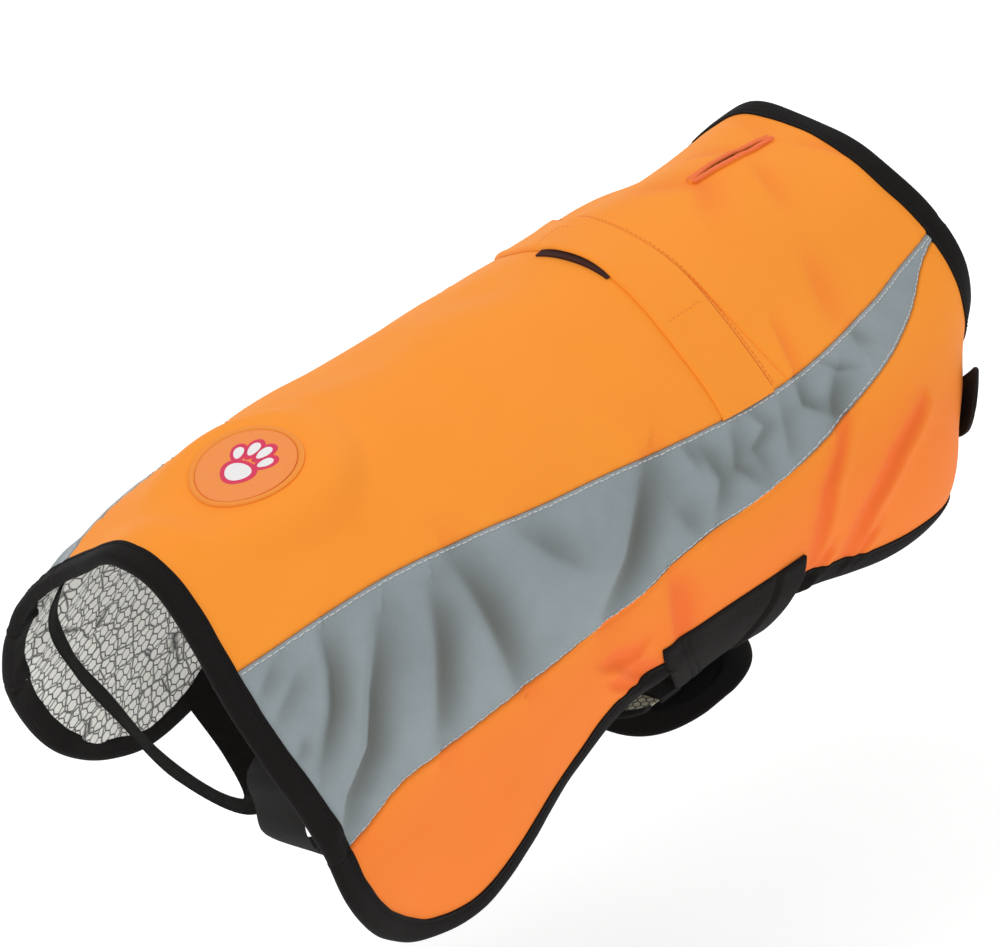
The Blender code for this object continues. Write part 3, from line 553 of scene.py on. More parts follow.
# the worn vest sits a little askew: the right half reaches further back than the left one
REAR_RIGHT = ((-4, 0), (-4.5, 34), (-6, 62), (-6.8, 84), (-4.7, 110), (1, 133), (7, 157), (11.5, 180), (19, 198),
              (35.5, 222.5), (58, 242), (76, 247.5), (92, 247), (107, 241.5), (120, 234), (133, 227), (148, 221),
              (163, 214), (177, 205), (193, 199), (214, 198))
REAR_LEFT = ((-4, 0), (-1, 25), (3, 52), (4, 90), (4, 115), (8, 152), (18, 184), (39, 223), (65, 246), (92, 256),
             (116, 252), (134, 240), (149, 226), (163, 214), (177, 205), (193, 199), (214, 198))
UNDER_BAND = ((214, 198), (240, 199), (272, 200))
LEG_EDGE = ((272, 200), (286, 206), (300, 214), (320, 225), (340, 233), (365, 241), (395, 249), (431, 263))
BINDING_WIDTH = 11 * MM
NECK_EDGE = 451 * MM
NECK_INNER = NECK_EDGE - BINDING_WIDTH
FLAP_SEAM = 308 * MM
FLAP_REAR = 277 * MM
CLOTH = 1.4 * MM


def seam(table, along):
    """How far down from the back's middle a seam lies, at each place along."""
    rows = np.array(table, float) * MM
    return smooth(rows[:, 0], rows[:, 1], along)


# %% The relief of the whole vest
# length in mm, direction and start in radians, height in mm
WAVES = ((83, 0.4, 0.3, 0.30), (61, 1.9, 2.1, 0.24), (47, 2.7, 4.0, 0.18), (31, 1.1, 5.2, 0.10))


def slow_wave(along, girth):
    """Sum of a few long sine waves in different directions: the cloth is never quite even."""
    total = 0
    for length, turn, start, height in WAVES:
        run = along * np.cos(turn) + girth * np.sin(turn)
        total = total + height * np.sin(2 * np.pi * run / (length * MM) + start)
    return total * MM


def seam_dip(along, girth):
    """Stitching pulls a seam down: a narrow dip along it, and small puckers across it every 8 mm or so."""
    total = 0
    for table in (INSERT_TOP, INSERT_LOW):
        away = np.abs(girth) - seam(table, np.clip(along, 0, NECK_EDGE))
        uneven = 2.2 * np.sin(along / (17 * MM)) + 3 * np.sign(girth)
        pucker = np.sin(2 * np.pi * along / (8.3 * MM) + uneven)
        dip = -0.45 * np.exp(-(away / (1.3 * MM)) ** 2)
        total = total + dip + 0.16 * pucker * np.exp(-(away / (5 * MM)) ** 2)
    return total * MM


def ease(t):
    """From 0 to 1 with level ends: 3 t^2 - 2 t^3."""
    t = np.clip(t, 0, 1)
    return t * t * (3 - 2 * t)


# small rises and dips of the ridge line: place along and height, both in mm
CREST = ((0, 0), (44, -0.8), (80, 0), (130, 0.3), (161, -3.2), (200, -0.2), (247, -3.2), (287, 0.6), (308, 1.8),
         (325, 1.9), (343, 1.2), (365, 0.4), (400, -0.2), (430, 0.4), (452, 1.6))


def crest(along, girth):
    """The ridge line lies left of the middle: height(along) * exp(-((girth + 27 mm) / 24 mm)^2)."""
    rows = np.array(CREST, float) * MM
    height = smooth(rows[:, 0], rows[:, 1], np.clip(along, 0, rows[-1, 0]))
    return height * np.exp(-((girth + 27 * MM) / (24 * MM)) ** 2)


BADGE_ALONG, BADGE_GIRTH = 70.5 * MM, -2.5 * MM
BADGE_FACING = unit(np.array([-0.14, -0.22, 0.965]))    # the way the badge's flat face looks
BADGE_SUNK = 2.4 * MM                                   # its plane lies this far inside the form's crown
BADGE_MIDDLE = on_form(np.array([BADGE_ALONG]), np.array([BADGE_GIRTH]), 0.0)[0] - BADGE_FACING * BADGE_SUNK


def badge_flat(along, girth):
    """The stiff badge holds the cloth flat: out = -distance to its plane / cos(tilt), within 26 mm of its
    middle, easing to nothing at 52 mm."""
    reach = np.hypot(along - BADGE_ALONG, girth - BADGE_GIRTH)
    share = ease((52 * MM - reach) / (26 * MM))
    gap = (on_form(along, girth, 0.0) - BADGE_MIDDLE) @ BADGE_FACING
    return -gap / np.clip(outward(along, girth) @ BADGE_FACING, 0.5, 1) * share, share


def hollow(along, girth, middle_along, middle_girth, reach, depth):
    """A smooth bowl: depth * exp(-(a / reach)^2 - (g / 20 mm)^2), with a and g from its middle, in mm."""
    return depth * MM * np.exp(-((along - middle_along * MM) / (reach * MM)) ** 2
                               - ((girth - middle_girth * MM) / (20 * MM)) ** 2)


def relief(along, girth):
    """Everything that lifts or lowers the cloth. The left side falls in behind the neck, with a low rise
    above it, and under the badge the cloth is flat."""
    along = np.asarray(along, float)
    girth = np.asarray(girth, float) + 0 * along
    right = fold_field(along, girth, FOLDS_RIGHT, 1)
    left = fold_field(along, girth, FOLDS_LEFT, -1)
    flat, share = badge_flat(along, girth)
    sunk = hollow(along, girth, 343, -110, 30, -5) + hollow(along, girth, 338, -70, 32, 2)
    loose = right + left + slow_wave(along, girth) + crest(along, girth) + seam_dip(along, girth) + sunk
    return flat + loose * (1 - share)


SETTLE = 1.1 * MM        # the worn cloth lies this much closer than the plain form


def vest(along, girth, out):
    """A place on the finished vest: the form moved by the relief, then `out` over it."""
    return on_form(along, girth, out + relief(along, girth) - SETTLE)


PAINTED_SHADE_SPREAD = 1.35     # the painted shade of a crease is this much wider than its trough
PAINTED_SHADE_FULL = 1.9        # mm; from this depth on the painted shade is at its full strength


def painted_shade(along, girth):
    """0 to 1: how far down in a trough the cloth is, for the painted shade that the finishes show there."""
    total = 0
    for folds, side in ((FOLDS_RIGHT, 1), (FOLDS_LEFT, -1)):
        troughs = [(path, width * PAINTED_SHADE_SPREAD, min(depth / PAINTED_SHADE_FULL, 1.0), 0.0)
                   for path, width, depth, _ in folds]
        total = total + fold_field(along, girth, troughs, side)
    return np.clip(-total / MM, 0, 1)


def side_painted_shade(along, girth):
    """Painted shade: the orange is made redder low on the sides, where they face away from the light: 0.62 *
    ease((|girth| - 105 mm) / 75 mm).
    """
    return 0.62 * ease((np.abs(girth) - 105 * MM) / (75 * MM))


# %% [markdown]
# ## Making a piece
# Each piece is a closed wall: an outer grid of points, an inner grid, and a rim. numpy works out all points
# at once. The helper also writes the UV map in metres, checks which way is out, and ties the piece to the
# frame: it rides on the one body and stands for its CAD node.

# %% Mesh helpers
def grid_quads(rows, columns, loop=False):
    """Four-sided faces between neighbouring points of a grid; `loop` closes each row on itself."""
    number = np.arange(rows * columns).reshape(rows, columns)
    if loop:
        number = np.concatenate([number, number[:, :1]], axis=1)
    corners = [number[:-1, :-1], number[1:, :-1], number[1:, 1:], number[:-1, 1:]]
    return np.stack(corners, -1).reshape(-1, 4)


def grid_of(u, v):
    """Every pair from two lists of shares, as two grids."""
    return np.meshgrid(u, v, indexing="ij")


def finish_piece(name, points, quads, caps, uv, finish, nodes, slot):
    """One object from its points and faces. uv has one row a point."""
    mesh = bpy.data.meshes.new(name)
    mesh.from_pydata(points.tolist(), [], quads.tolist() + caps)
    layer = mesh.uv_layers.new(name="cloth")
    corners = np.empty(len(mesh.loops), int)
    mesh.loops.foreach_get("vertex_index", corners)
    layer.data.foreach_set("uv", uv[corners].astype(np.float32).ravel())
    mesh.shade_smooth()
    mesh.set_sharp_from_angle(angle=np.radians(55))
    mesh.materials.append(finish)
    piece = bpy.data.objects.new(name, mesh)
    bpy.context.scene.collection.objects.link(piece)
    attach(piece, "root")
    if nodes:
        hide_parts(*nodes)
    return piece


def wall(name, top, bottom, uv, finish, nodes, slot):
    """Closed wall between two grids of points, with a rim of quads that join their outlines. All faces are
    turned so that the top grid looks away from the bottom one."""
    rows, columns = top.shape[:2]
    count = rows * columns
    number = np.arange(count).reshape(rows, columns)
    quads = grid_quads(rows, columns)
    rim = np.concatenate([number[0, :], number[1:, -1], number[-1, -2::-1], number[-2:0:-1, 0]])
    following = np.roll(rim, -1)
    sides = np.stack([rim, following, following + count, rim + count], -1)
    faces = np.concatenate([quads, quads[:, ::-1] + count, sides])
    middle = number[rows // 2, columns // 2]
    flat = top.reshape(-1, 3)
    facing = np.cross(flat[middle + columns] - flat[middle], flat[middle + 1] - flat[middle])
    if np.dot(facing, (top - bottom)[rows // 2, columns // 2]) < 0:
        faces = faces[:, ::-1]
    points = np.concatenate([flat, bottom.reshape(-1, 3)])
    return finish_piece(name, points, faces, [], np.tile(uv.reshape(-1, 2), (2, 1)), finish, nodes, slot)


def laid(name, along, girth, low, high, finish, nodes, slot):
    """A wall that lies on the vest, between two heights over it."""
    uv = np.stack([along, girth], -1)
    return wall(name, vest(along, girth, high), vest(along, girth, low), uv, finish, nodes, slot)


def turned_out(points, quads, fans):
    """The faces of a closed piece, all turned round if they look inward. They look outward where the volume,
    a sixth of the sum of a . (b x c) over all triangles, is positive."""
    triangles = np.concatenate([quads[:, :3], quads[:, [0, 2, 3]], fans])
    corners = (points - points.mean(0))[triangles]
    if np.sum(corners[:, 0] * np.cross(corners[:, 1], corners[:, 2])) < 0:
        return quads[:, ::-1], fans[:, ::-1]
    return quads, fans


def tube(name, rings, uv, finish, nodes, slot, ends=None):
    """One closed object through rings of points, with a fan of triangles at each end. `ends` holds the two
    fans' middle points and their uv; without it they are the end rings' own middles."""
    count, sides = rings.shape[:2]
    uv = uv.reshape(-1, 2)
    if ends is None:
        ends = np.array([rings[0].mean(0), rings[-1].mean(0)]), uv[[0, -1]]
    points = np.concatenate([rings.reshape(-1, 3), ends[0]])
    quads = grid_quads(count, sides, loop=True)
    total = count * sides
    a = np.arange(sides)
    b = np.roll(a, -1)
    first = np.stack([0 * a + total, a, b], -1)
    last = np.stack([0 * a + total + 1, total - sides + b, total - sides + a], -1)
    quads, fans = turned_out(points, quads, np.concatenate([first, last]))
    return finish_piece(name, points, quads, fans.tolist(), np.concatenate([uv, ends[1]]), finish, nodes, slot)


def rim_distance(along, girth):
    """How far each place of a grid lies from the grid's nearest rim, measured on the cloth."""
    step_u = np.hypot(np.diff(along, axis=0), np.diff(girth, axis=0))
    step_v = np.hypot(np.diff(along, axis=1), np.diff(girth, axis=1))
    u = np.concatenate([np.zeros((1, along.shape[1])), np.cumsum(step_u, axis=0)])
    v = np.concatenate([np.zeros((along.shape[0], 1)), np.cumsum(step_v, axis=1)], axis=1)
    return np.minimum(np.minimum(u, u[-1:] - u), np.minimum(v, v[:, -1:] - v))


def rounded_rim(along, girth, reach):
    """1 on a grid's rim, falling to 0 at `reach` from it: (1 - distance / reach)^2."""
    return (1 - np.clip(rim_distance(along, girth) / reach, 0, 1)) ** 2


RIM_REACH, RIM_DROP = 1.4 * MM, 0.7 * MM


def panel(name, along, girth, finish, node, slot):
    """A cloth panel over a grid of places. Its outer face turns down by RIM_DROP within RIM_REACH of its rim."""
    high = CLOTH - RIM_DROP * rounded_rim(along, girth, RIM_REACH)
    piece = laid(name, along, girth, 0.0, high, finish, [node], slot)
    # painted shade: an attribute that darkens the grey and reddens the orange in the fold troughs
    values = piece.data.attributes.new("painted_shade", "FLOAT", "POINT")
    painted_amount = painted_shade(along, girth)
    # painted shade: the orange is also reddened low on the sides, where they face away from the light
    if slot == "orange_cloth":
        painted_amount = np.clip(painted_amount + side_painted_shade(along, girth), 0, 1)
    values.data.foreach_set("value", np.tile(painted_amount.ravel(), 2).astype(np.float32))
    print(name, "grid", along.shape)
    return piece


def span(start, end, share):
    """From start to end, by a share from 0 to 1."""
    return start + (end - start) * share


def crowd_ends(count, tight=0.35):
    """Shares from 0 to 1, closer together near both ends, so that a rounded rim has enough rows."""
    t = np.linspace(0, 1, count)
    return t - (1 - tight) * np.sin(2 * np.pi * t) / (2 * np.pi) * 0.9


# %% [markdown]
# ## Orange back
# The back is one panel from the tail to the cross seam, and a second from there to the neck. Both are fine
# grids with faces of about 1.5 mm, so the folds shade smoothly.

# %% Back panels
TUCK = 4 * MM           # the back's cloth runs on this far under a tape
NECK_TUCK = 3 * MM      # the inserts' and sides' cloth, under the neck tape


def rear_inner(girth, tuck):
    """How far along the tail tape's inner edge lies, `tuck` under the tape; girth is negative on the left."""
    right, left = np.array(REAR_RIGHT[:8], float) * MM, np.array(REAR_LEFT[:7], float) * MM
    down = np.abs(girth)
    edge = np.where(girth >= 0, smooth(right[:, 1], right[:, 0], down),
                    smooth(left[:, 1], left[:, 0], down))
    return edge + BINDING_WIDTH - tuck


def back_grid(start, end, rows, at_tail):
    """Places across the back from insert to insert. At the tail the first row follows the tape's edge."""
    u, v = grid_of(crowd_ends(rows), span(-1, 1, crowd_ends(131)))
    rough = v * seam(INSERT_TOP, span(start + 15 * MM, end, u))
    along = span(rear_inner(rough, TUCK) if at_tail else start, end, u)
    return along, v * seam(INSERT_TOP, along)


def back_rear():
    along, girth = back_grid(0, FLAP_SEAM, 201, True)
    piece = panel("back_panel", along, girth, ORANGE, "back_rear", "orange_cloth")


def back_front():
    along, girth = back_grid(FLAP_SEAM, NECK_INNER + TUCK, 97, False)
    piece = panel("shoulder_panel", along, girth, ORANGE, "back_front", "orange_cloth")


back_rear()
back_front()

# %% [markdown]
# ## Grey inserts
# Each insert is a long wedge: broad at the tail and a point at the neck, with both long edges a slow wave.

# %% Reflective inserts
def insert(side, word):
    rows, columns = (361, 67) if side > 0 else (291, 55)    # finer on the side that is seen
    u, v = grid_of(crowd_ends(rows), crowd_ends(columns))
    rough = span(12 * MM, NECK_INNER, u)
    girth = span(seam(INSERT_TOP, rough), seam(INSERT_LOW, rough), v)
    along = span(rear_inner(side * girth, TUCK), NECK_INNER + NECK_TUCK, u)
    girth = side * span(seam(INSERT_TOP, along), seam(INSERT_LOW, along), v)
    piece = panel("insert_panel_" + word, along, girth, GREY, "insert_" + word, "reflective_cloth")


for side, word in SIDES:
    insert(side, word)

# %% [markdown]
# ## Orange sides
# A side panel has four curved edges: the insert's seam above, the rear lobe behind, the lower edge, and the
# chest in front. A Coons patch fills such a frame: it blends the two pairs of edges and takes away the
# corners that were counted twice.

# %% Edge lines
def edge_line(table, count):
    """Evenly spaced places on a smooth line through an edge table."""
    rows = np.array(table, float) * MM
    chord = np.concatenate([[0], np.cumsum(np.hypot(*np.diff(rows, axis=0).T))])
    fine = np.linspace(0, chord[-1], 1200)
    return even_line(np.stack([smooth(chord, rows[:, 0], fine), smooth(chord, rows[:, 1], fine)], -1), count)


def even_line(points, count, shares=None):
    """Places on a line of points, evenly spaced along it or at the given shares of its length."""
    length = np.concatenate([[0], np.cumsum(np.hypot(*np.diff(points, axis=0).T))])
    at = length[-1] * (np.linspace(0, 1, count) if shares is None else shares)
    return np.stack([np.interp(at, length, points[:, 0]), np.interp(at, length, points[:, 1])], -1)


def moved_in(line, distance):
    """The line moved to its left-hand side on the flat cloth."""
    ahead = np.gradient(line, axis=0)
    ahead = ahead / np.hypot(ahead[:, 0], ahead[:, 1])[:, None]
    return line + np.stack([-ahead[:, 1], ahead[:, 0]], -1) * np.asarray(distance)[..., None]


def blended_patch(top, bottom, rear, front):
    """Coons patch: ruled(top, bottom) + ruled(rear, front) - bilinear(corners)."""
    u = np.linspace(0, 1, len(top))[:, None, None]
    v = np.linspace(0, 1, len(rear))[None, :, None]
    corners = span(span(top[0], top[-1], u), span(bottom[0], bottom[-1], u), v)
    return span(top[:, None], bottom[:, None], v) + span(rear[None], front[None], u) - corners


def stop_at_middle(grid, side, spare):
    """No place goes nearer than `spare` to the chest's middle plane."""
    kept = grid.copy()
    kept[..., 1] = np.minimum(grid[..., 1], closing_girth(grid[..., 0]) - side * CENTRE_SHIFT - spare)
    return kept


LOBE_CORNER = 230 * MM                              # this far down the rear lobe's edge turns forward
REAR_END, UNDER_START = 213 * MM, 219 * MM          # lobe, band and leg edges pass over into each other
UNDER_END, LEG_START = 267 * MM, 273 * MM


def lower_edge(inset, side):
    """The lower edge `inset` from the tapes' inner edge, as two lines: down the tail to the rear lobe's
    corner, then on under the band to the chest."""
    tail = REAR_RIGHT if side > 0 else REAR_LEFT
    rear = moved_in(edge_line(tail, 500), -(BINDING_WIDTH + inset))
    under = edge_line(UNDER_BAND, 30)
    leg = moved_in(edge_line(LEG_EDGE, 300), -(BINDING_WIDTH + inset))
    corner = np.argmax(rear[:, 1] > LOBE_CORNER)
    past = rear[:, 0] > REAR_END
    last = np.argmax(past) if past.any() else len(rear)
    under = under[(under[:, 0] > UNDER_START) & (under[:, 0] < UNDER_END)]
    leg = leg[np.argmax(leg[:, 0] > LEG_START):]
    return rear[:corner + 1], np.concatenate([rear[corner:last], under, leg])


# %% Side panels
def front_line(start, corner, end, columns, shares=None):
    """The chest's edge: from the end of the top line by way of a corner to the end of the bottom line."""
    return even_line(np.concatenate([start[-1:], [corner], end[-1:]]), columns, shares)


def side_panel(side, word):
    rows, columns = 291, 81
    neck = NECK_INNER + NECK_TUCK
    rear, run = lower_edge(-TUCK, side)
    first = np.argmax(rear[:, 1] > seam(INSERT_LOW, np.clip(rear[:, 0], 0, NECK_EDGE)))
    rear_side = even_line(rear[first:], columns, crowd_ends(columns))
    bottom = even_line(run, rows)
    along = np.linspace(rear_side[0, 0], neck, rows)
    top = np.stack([along, seam(INSERT_LOW, along)], -1)
    rear_side[0] = top[0]
    front = front_line(top, [neck, 222 * MM], bottom, columns, crowd_ends(columns))
    grid = stop_at_middle(blended_patch(top, bottom, rear_side, front), side, 0.3 * MM)
    along, girth = grid[..., 0], side * grid[..., 1]
    piece = panel("side_panel_" + word, along, girth, ORANGE, "side_" + word, "orange_cloth")


for side, word in SIDES:
    side_panel(side, word)


# %% [markdown]
# ## Mesh lining
# The lining is a sheet a half, a little inside the panels. It is seen inside the rear lobes, past the leg
# loops. The same Coons patch gives its grid, now from the middle of the back down to the lower edge.

# %% Lining
LINING = 1.0 * MM
LINING_GAP = 1.9 * MM


def lining(side, word):
    """Between the tapes it hangs 0.5 mm lower than beside them, and sags in slow waves."""
    rows, columns = 161, 91
    neck = NECK_INNER + 2 * MM
    rear, run = lower_edge(-3 * MM, side)
    rear_side = even_line(rear, columns)
    rear_side[0, 1] = 0.0
    bottom = even_line(run, rows)
    along = np.linspace(rear_side[0, 0], neck, rows)
    top = np.stack([along, 0 * along], -1)
    front = front_line(top, [neck, 220 * MM], bottom, columns)
    grid = stop_at_middle(blended_patch(top, bottom, rear_side, front), side, 0.5 * MM)
    along, girth = grid[..., 0], side * grid[..., 1]
    sag = 0.35 * MM * np.sin(along / (9 * MM)) * np.sin(girth / (11 * MM) + 1.3)
    rise = np.clip(rim_distance(along, np.abs(girth)) / (6 * MM), 0, 1)
    low = -LINING_GAP - LINING - (0.5 * MM + sag) * rise
    piece = laid("lining_sheet_" + word, along, girth, low, low + LINING * 0.9, MESH, ["lining_" + word],
                 "mesh_lining")
    print("lining", word, along.shape)


for side, word in SIDES:
    lining(side, word)

# %% [markdown]
# ## Black binding
# The tape is folded over the cut edge: a rounded fold outside, a flat face with one line of stitching near
# its inner edge. A cross-section is carried along the edge line. It swells and slackens a little between
# stitches, because real tape is pulled round curves by hand.

# %% Tape sweep
def tape_section(width, low, high):
    """(distance in, height) round a folded tape: fold, outer face with a stitch groove, inner face."""
    mid, half = (low + high) / 2, (high - low) / 2
    turn = np.linspace(-np.pi / 2, np.pi / 2, 7)
    fold = [(half * 0.9 * (1 - np.cos(a)), mid + half * np.sin(a)) for a in turn]
    inward = np.array([0.32, 0.5, 0.66, 0.75, 0.80, 0.85, 0.93, 0.985])
    groove = np.exp(-((inward - 0.80) / 0.045) ** 2)
    crown = 0.15 * MM * np.sin(np.pi * np.clip(inward / 0.78, 0, 1)) - 0.25 * MM * groove
    outer = [(width * s, high + c) for s, c in zip(inward, crown)]
    end = [(width * 1.0, high - 0.6 * MM), (width * 1.0, low + 0.6 * MM)]
    inner = [(width * s, low) for s in (0.93, 0.6, 0.32)]
    return np.array(fold + outer + end + inner)


SWELL = 0.02            # share by which a tape grows and shrinks along its run


def sweep(name, place, line, section, node, seed):
    """A tape's section carried along a line on the cloth: each ring is the line moved in by the section's
    distance, at the section's height. `seed` shifts the swelling, so that no two tapes look the same."""
    steps = np.concatenate([[0], np.cumsum(np.hypot(*np.diff(line, axis=0).T))])
    pulse = 1 + SWELL * (np.sin(steps / (6.1 * MM) + seed) + 0.7 * np.sin(steps / (2.9 * MM) + 2 * seed)
                         + 0.6 * np.sin(steps / (19 * MM)))
    rings = []
    for distance, out in section:
        side = moved_in(line, distance * (1 + 0.4 * (pulse - 1)))
        rings.append(place(side[:, 0], side[:, 1], out * pulse))
    across = np.concatenate([[0], np.cumsum(np.linalg.norm(np.diff(section, axis=0), axis=1))])
    uv = np.stack(np.broadcast_arrays(steps[:, None], across[None]), -1)
    tube(name, np.stack(rings, axis=1), uv, TAPE, [node], "black_trim")


# %% Bindings
BINDING_IN = -3.3 * MM
BINDING_OUT = 2.3 * MM
TAPE_SECTION = tape_section(BINDING_WIDTH, BINDING_IN, BINDING_OUT)
MIRROR = np.array([1.0, -1.0])
NECK_TAPE = 13.5 * MM           # the neck tape is wider than the others
TAPE_STOP, TAPE_START = 212 * MM, 274 * MM      # the band covers the tapes' ends between these places


def rear_line():
    """One run from flank to flank, over the middle of the tail."""
    right, left = edge_line(REAR_RIGHT, 620), edge_line(REAR_LEFT, 620)
    right, left = right[right[:, 0] < TAPE_STOP], left[left[:, 0] < TAPE_STOP]
    return np.concatenate([right[::-1], left[1:] * MIRROR])


def leg_line(side):
    """From the chest's middle back to the band, along the lower front edge."""
    line = edge_line(LEG_EDGE, 170)
    line = line[line[:, 0] > TAPE_START]
    inner = moved_in(line, -BINDING_WIDTH)
    return line[inner[:, 1] < closing_girth(inner[:, 0]) - side * CENTRE_SHIFT - 2 * MM][::-1]


def leg_place(side):
    """A way to place things on one side, none of which goes past the chest's middle."""
    def place(along, girth, out):
        spot = stop_at_middle(np.stack([along, girth], -1), side, 0.6 * MM)
        return vest(spot[..., 0], side * spot[..., 1], out)
    return place


def neck_line():
    """Round the neck; the edge is drawn back a little to the right of the back's middle."""
    closing = closing_girth(NECK_EDGE) - 0.8 * MM
    girth = np.linspace(-closing - CENTRE_SHIFT, closing - CENTRE_SHIFT, 460)
    along = NECK_EDGE - 1.0 * MM - 4.0 * MM * np.exp(-((girth - 44 * MM) / (22 * MM)) ** 2)
    return np.stack([along, girth], -1)


sweep("tape_rear", vest, rear_line(), TAPE_SECTION, "binding_rear", 0.4)
sweep("tape_neck", vest, neck_line(), tape_section(NECK_TAPE, BINDING_IN, BINDING_OUT), "binding_neck", 1.7)
for side, word in SIDES:
    sweep("tape_leg_" + word, leg_place(side), leg_line(side), TAPE_SECTION, "binding_leg_" + word, side)
print("tape section points:", len(TAPE_SECTION))

# %% [markdown]
# ## Cross flap
# A strip of the same orange cloth is sewn across the back at the cross seam. Its rear edge is turned under
# and left open in the middle, where a strip of black hook tape shows in the gap.

# %% Flap and hook tape
GAPE_MIDDLE, GAPE_HALF = -1.5 * MM, 22 * MM      # where the flap stands open
BOX_ALONG, BOX_GIRTH = 291 * MM, -12 * MM        # middle of the tape sewn under the flap
BOX_HALF_ALONG, BOX_HALF_GIRTH = 8 * MM, 19 * MM


def flap_gape(girth):
    """1 in the middle of the slit, falling smoothly to 0 at its ends."""
    reach = np.clip(1 - ((girth - GAPE_MIDDLE) / GAPE_HALF) ** 2, 0, 1)
    return reach ** 0.6


def flap_seam_line(girth):
    """The cross seam bows a little towards the tail on the right, and leans towards the neck on the left."""
    down = np.abs(girth) / (100 * MM)
    return FLAP_SEAM + np.where(girth > 0, -8.5 * MM * down ** 2, 31 * MM * down ** 1.8)


def flap_rear_edge(girth):
    """The free rear edge runs like the seam, and is drawn forward at the open middle."""
    down = np.abs(girth) / (100 * MM)
    lean = np.where(girth > 0, -7.5 * MM * down ** 1.5, 27 * MM * down ** 1.8)
    return FLAP_REAR + lean + 0.3 * MM * flap_gape(girth)


def box_rise(place, middle, half):
    """1 between two edges, falling off over 1.5 mm outside them."""
    return np.exp(-(np.maximum(np.abs(place - middle) - half, 0) / (1.5 * MM)) ** 2)


def cross_flap():
    """Its rear edge is folded under, which makes a low ridge, and gapes; the tape under it shows as a box."""
    u, v = grid_of(crowd_ends(45), span(-1, 1, crowd_ends(201)))
    rough = v * seam(INSERT_TOP, span(FLAP_REAR, FLAP_SEAM, u))
    along = span(flap_rear_edge(rough), flap_seam_line(rough), u)
    girth = v * (seam(INSERT_TOP, along) + 0.5 * MM)
    fold = 0.5 * MM * np.exp(-((along - flap_rear_edge(girth) - 2.5 * MM) / (2.2 * MM)) ** 2)
    box = box_rise(girth, BOX_GIRTH, BOX_HALF_GIRTH) * box_rise(along, BOX_ALONG, BOX_HALF_ALONG) * 0.35 * MM
    low = CLOTH + 0.1 * MM + 2.3 * MM * flap_gape(girth) * (1 - u) ** 2
    high = low + 1.3 * MM + fold + box - 0.9 * MM * rounded_rim(along, girth, 1.6 * MM)
    piece = laid("flap", along, girth, low, high, ORANGE, ["cross_flap"], "orange_cloth")


def hook_tape():
    """Short dark fuzz on a tape: its outer face is roughened by a product of fine sines."""
    u, v = grid_of(np.linspace(0, 1, 31), np.linspace(-1, 1, 161))
    girth = GAPE_MIDDLE + v * 21 * MM
    along = span(FLAP_REAR - 2.5 * MM, FLAP_REAR + 9 * MM, u)
    fuzz = 0.35 * MM * np.sin(along / (0.21 * MM) + 3 * np.sin(girth / (1.7 * MM))) * np.sin(girth / (0.25 * MM))
    low = CLOTH + 0.1 * MM
    high = low + 1.5 * MM * (1 - 0.5 * v ** 2) + fuzz * np.clip(8 * u, 0, 1)
    laid("hook_strip", along, girth, low, high, HOOKS, ["hook_tape"], "black_trim")


cross_flap()
hook_tape()
print("flap and hook tape made")

# %% [markdown]
# ## Lead slit
# Near the neck a short slit lets a lead through. Its two folded lips are held by dense stitching. Each lip
# is a half-round roll; the two rolls part in the middle and close at the ends, over a dark sheet of painted
# shadow.

# %% Welt
SLIT_MIDDLE = 390.5 * MM
SLIT_LENGTH = 59 * MM
SLIT_GIRTH = -3 * MM


def lead_slit():
    """A lip rolled round a long narrow eye, and a dark sheet of painted shadow inside it. With x from -1 to 1
    along the slit, the eye's half width is 1.4 mm * (1 - |1.12 x|^2.4), and the welt's is 1.7 mm at its ends and
    3.4 mm in the middle. The roll stands 1.3 mm high, with fine ribs where the thread pulls it in."""
    u, v = grid_of(np.linspace(0, 2 * np.pi, 241)[:-1], np.linspace(0, 2 * np.pi, 13)[:-1])
    x = np.cos(u)
    eye = 1.4 * MM * np.clip(1 - np.abs(x * 1.12) ** 2.4, 0, 1) * np.sign(np.sin(u))
    tall = (1.7 + 1.7 * (1 - x ** 2)) * MM * np.abs(np.sin(u)) ** 0.35 * np.sign(np.sin(u))
    middle = (eye + tall) / 2
    half = np.maximum(np.abs(tall - eye) / 2, 0.6 * MM)
    along = SLIT_MIDDLE + SLIT_LENGTH / 2 * x * (1 + 0.02 * np.cos(v) * np.abs(x) ** 6)
    girth = SLIT_GIRTH + middle + half * np.cos(v) * np.where(np.sin(u) < 0, -1, 1)
    out = CLOTH + 0.2 * MM + 1.3 * MM * np.maximum(np.sin(v), -0.35) + 0.12 * MM * np.sin(u * 57) * np.sin(v)
    number = np.arange(u.size).reshape(u.shape)
    ahead = np.roll(number, -1, axis=0)
    quads = np.stack([number, ahead, np.roll(ahead, -1, axis=1), np.roll(number, -1, axis=1)], -1)
    points = vest(along, girth, out).reshape(-1, 3)
    quads, _ = turned_out(points, quads.reshape(-1, 4), np.empty((0, 3), int))
    uv = np.stack([along, girth], -1).reshape(-1, 2)
    finish_piece("slit_welt", points, quads, [], uv, ORANGE, ["lead_slit"], "orange_cloth")
    x, v = grid_of(np.linspace(-1, 1, 41), np.linspace(-1, 1, 5))
    along = SLIT_MIDDLE + x * 27 * MM
    girth = SLIT_GIRTH + v * 1.7 * MM * np.sqrt(np.clip(1.02 - x ** 2, 0, 1))
    # painted shadow: a dark sheet inside the open slit, where there would be shade
    laid("slit_shadow_sheet", along, girth, CLOTH - 0.2 * MM, CLOTH + 0.25 * MM, SHADOW, [], "orange_cloth")


lead_slit()
print("welt made")

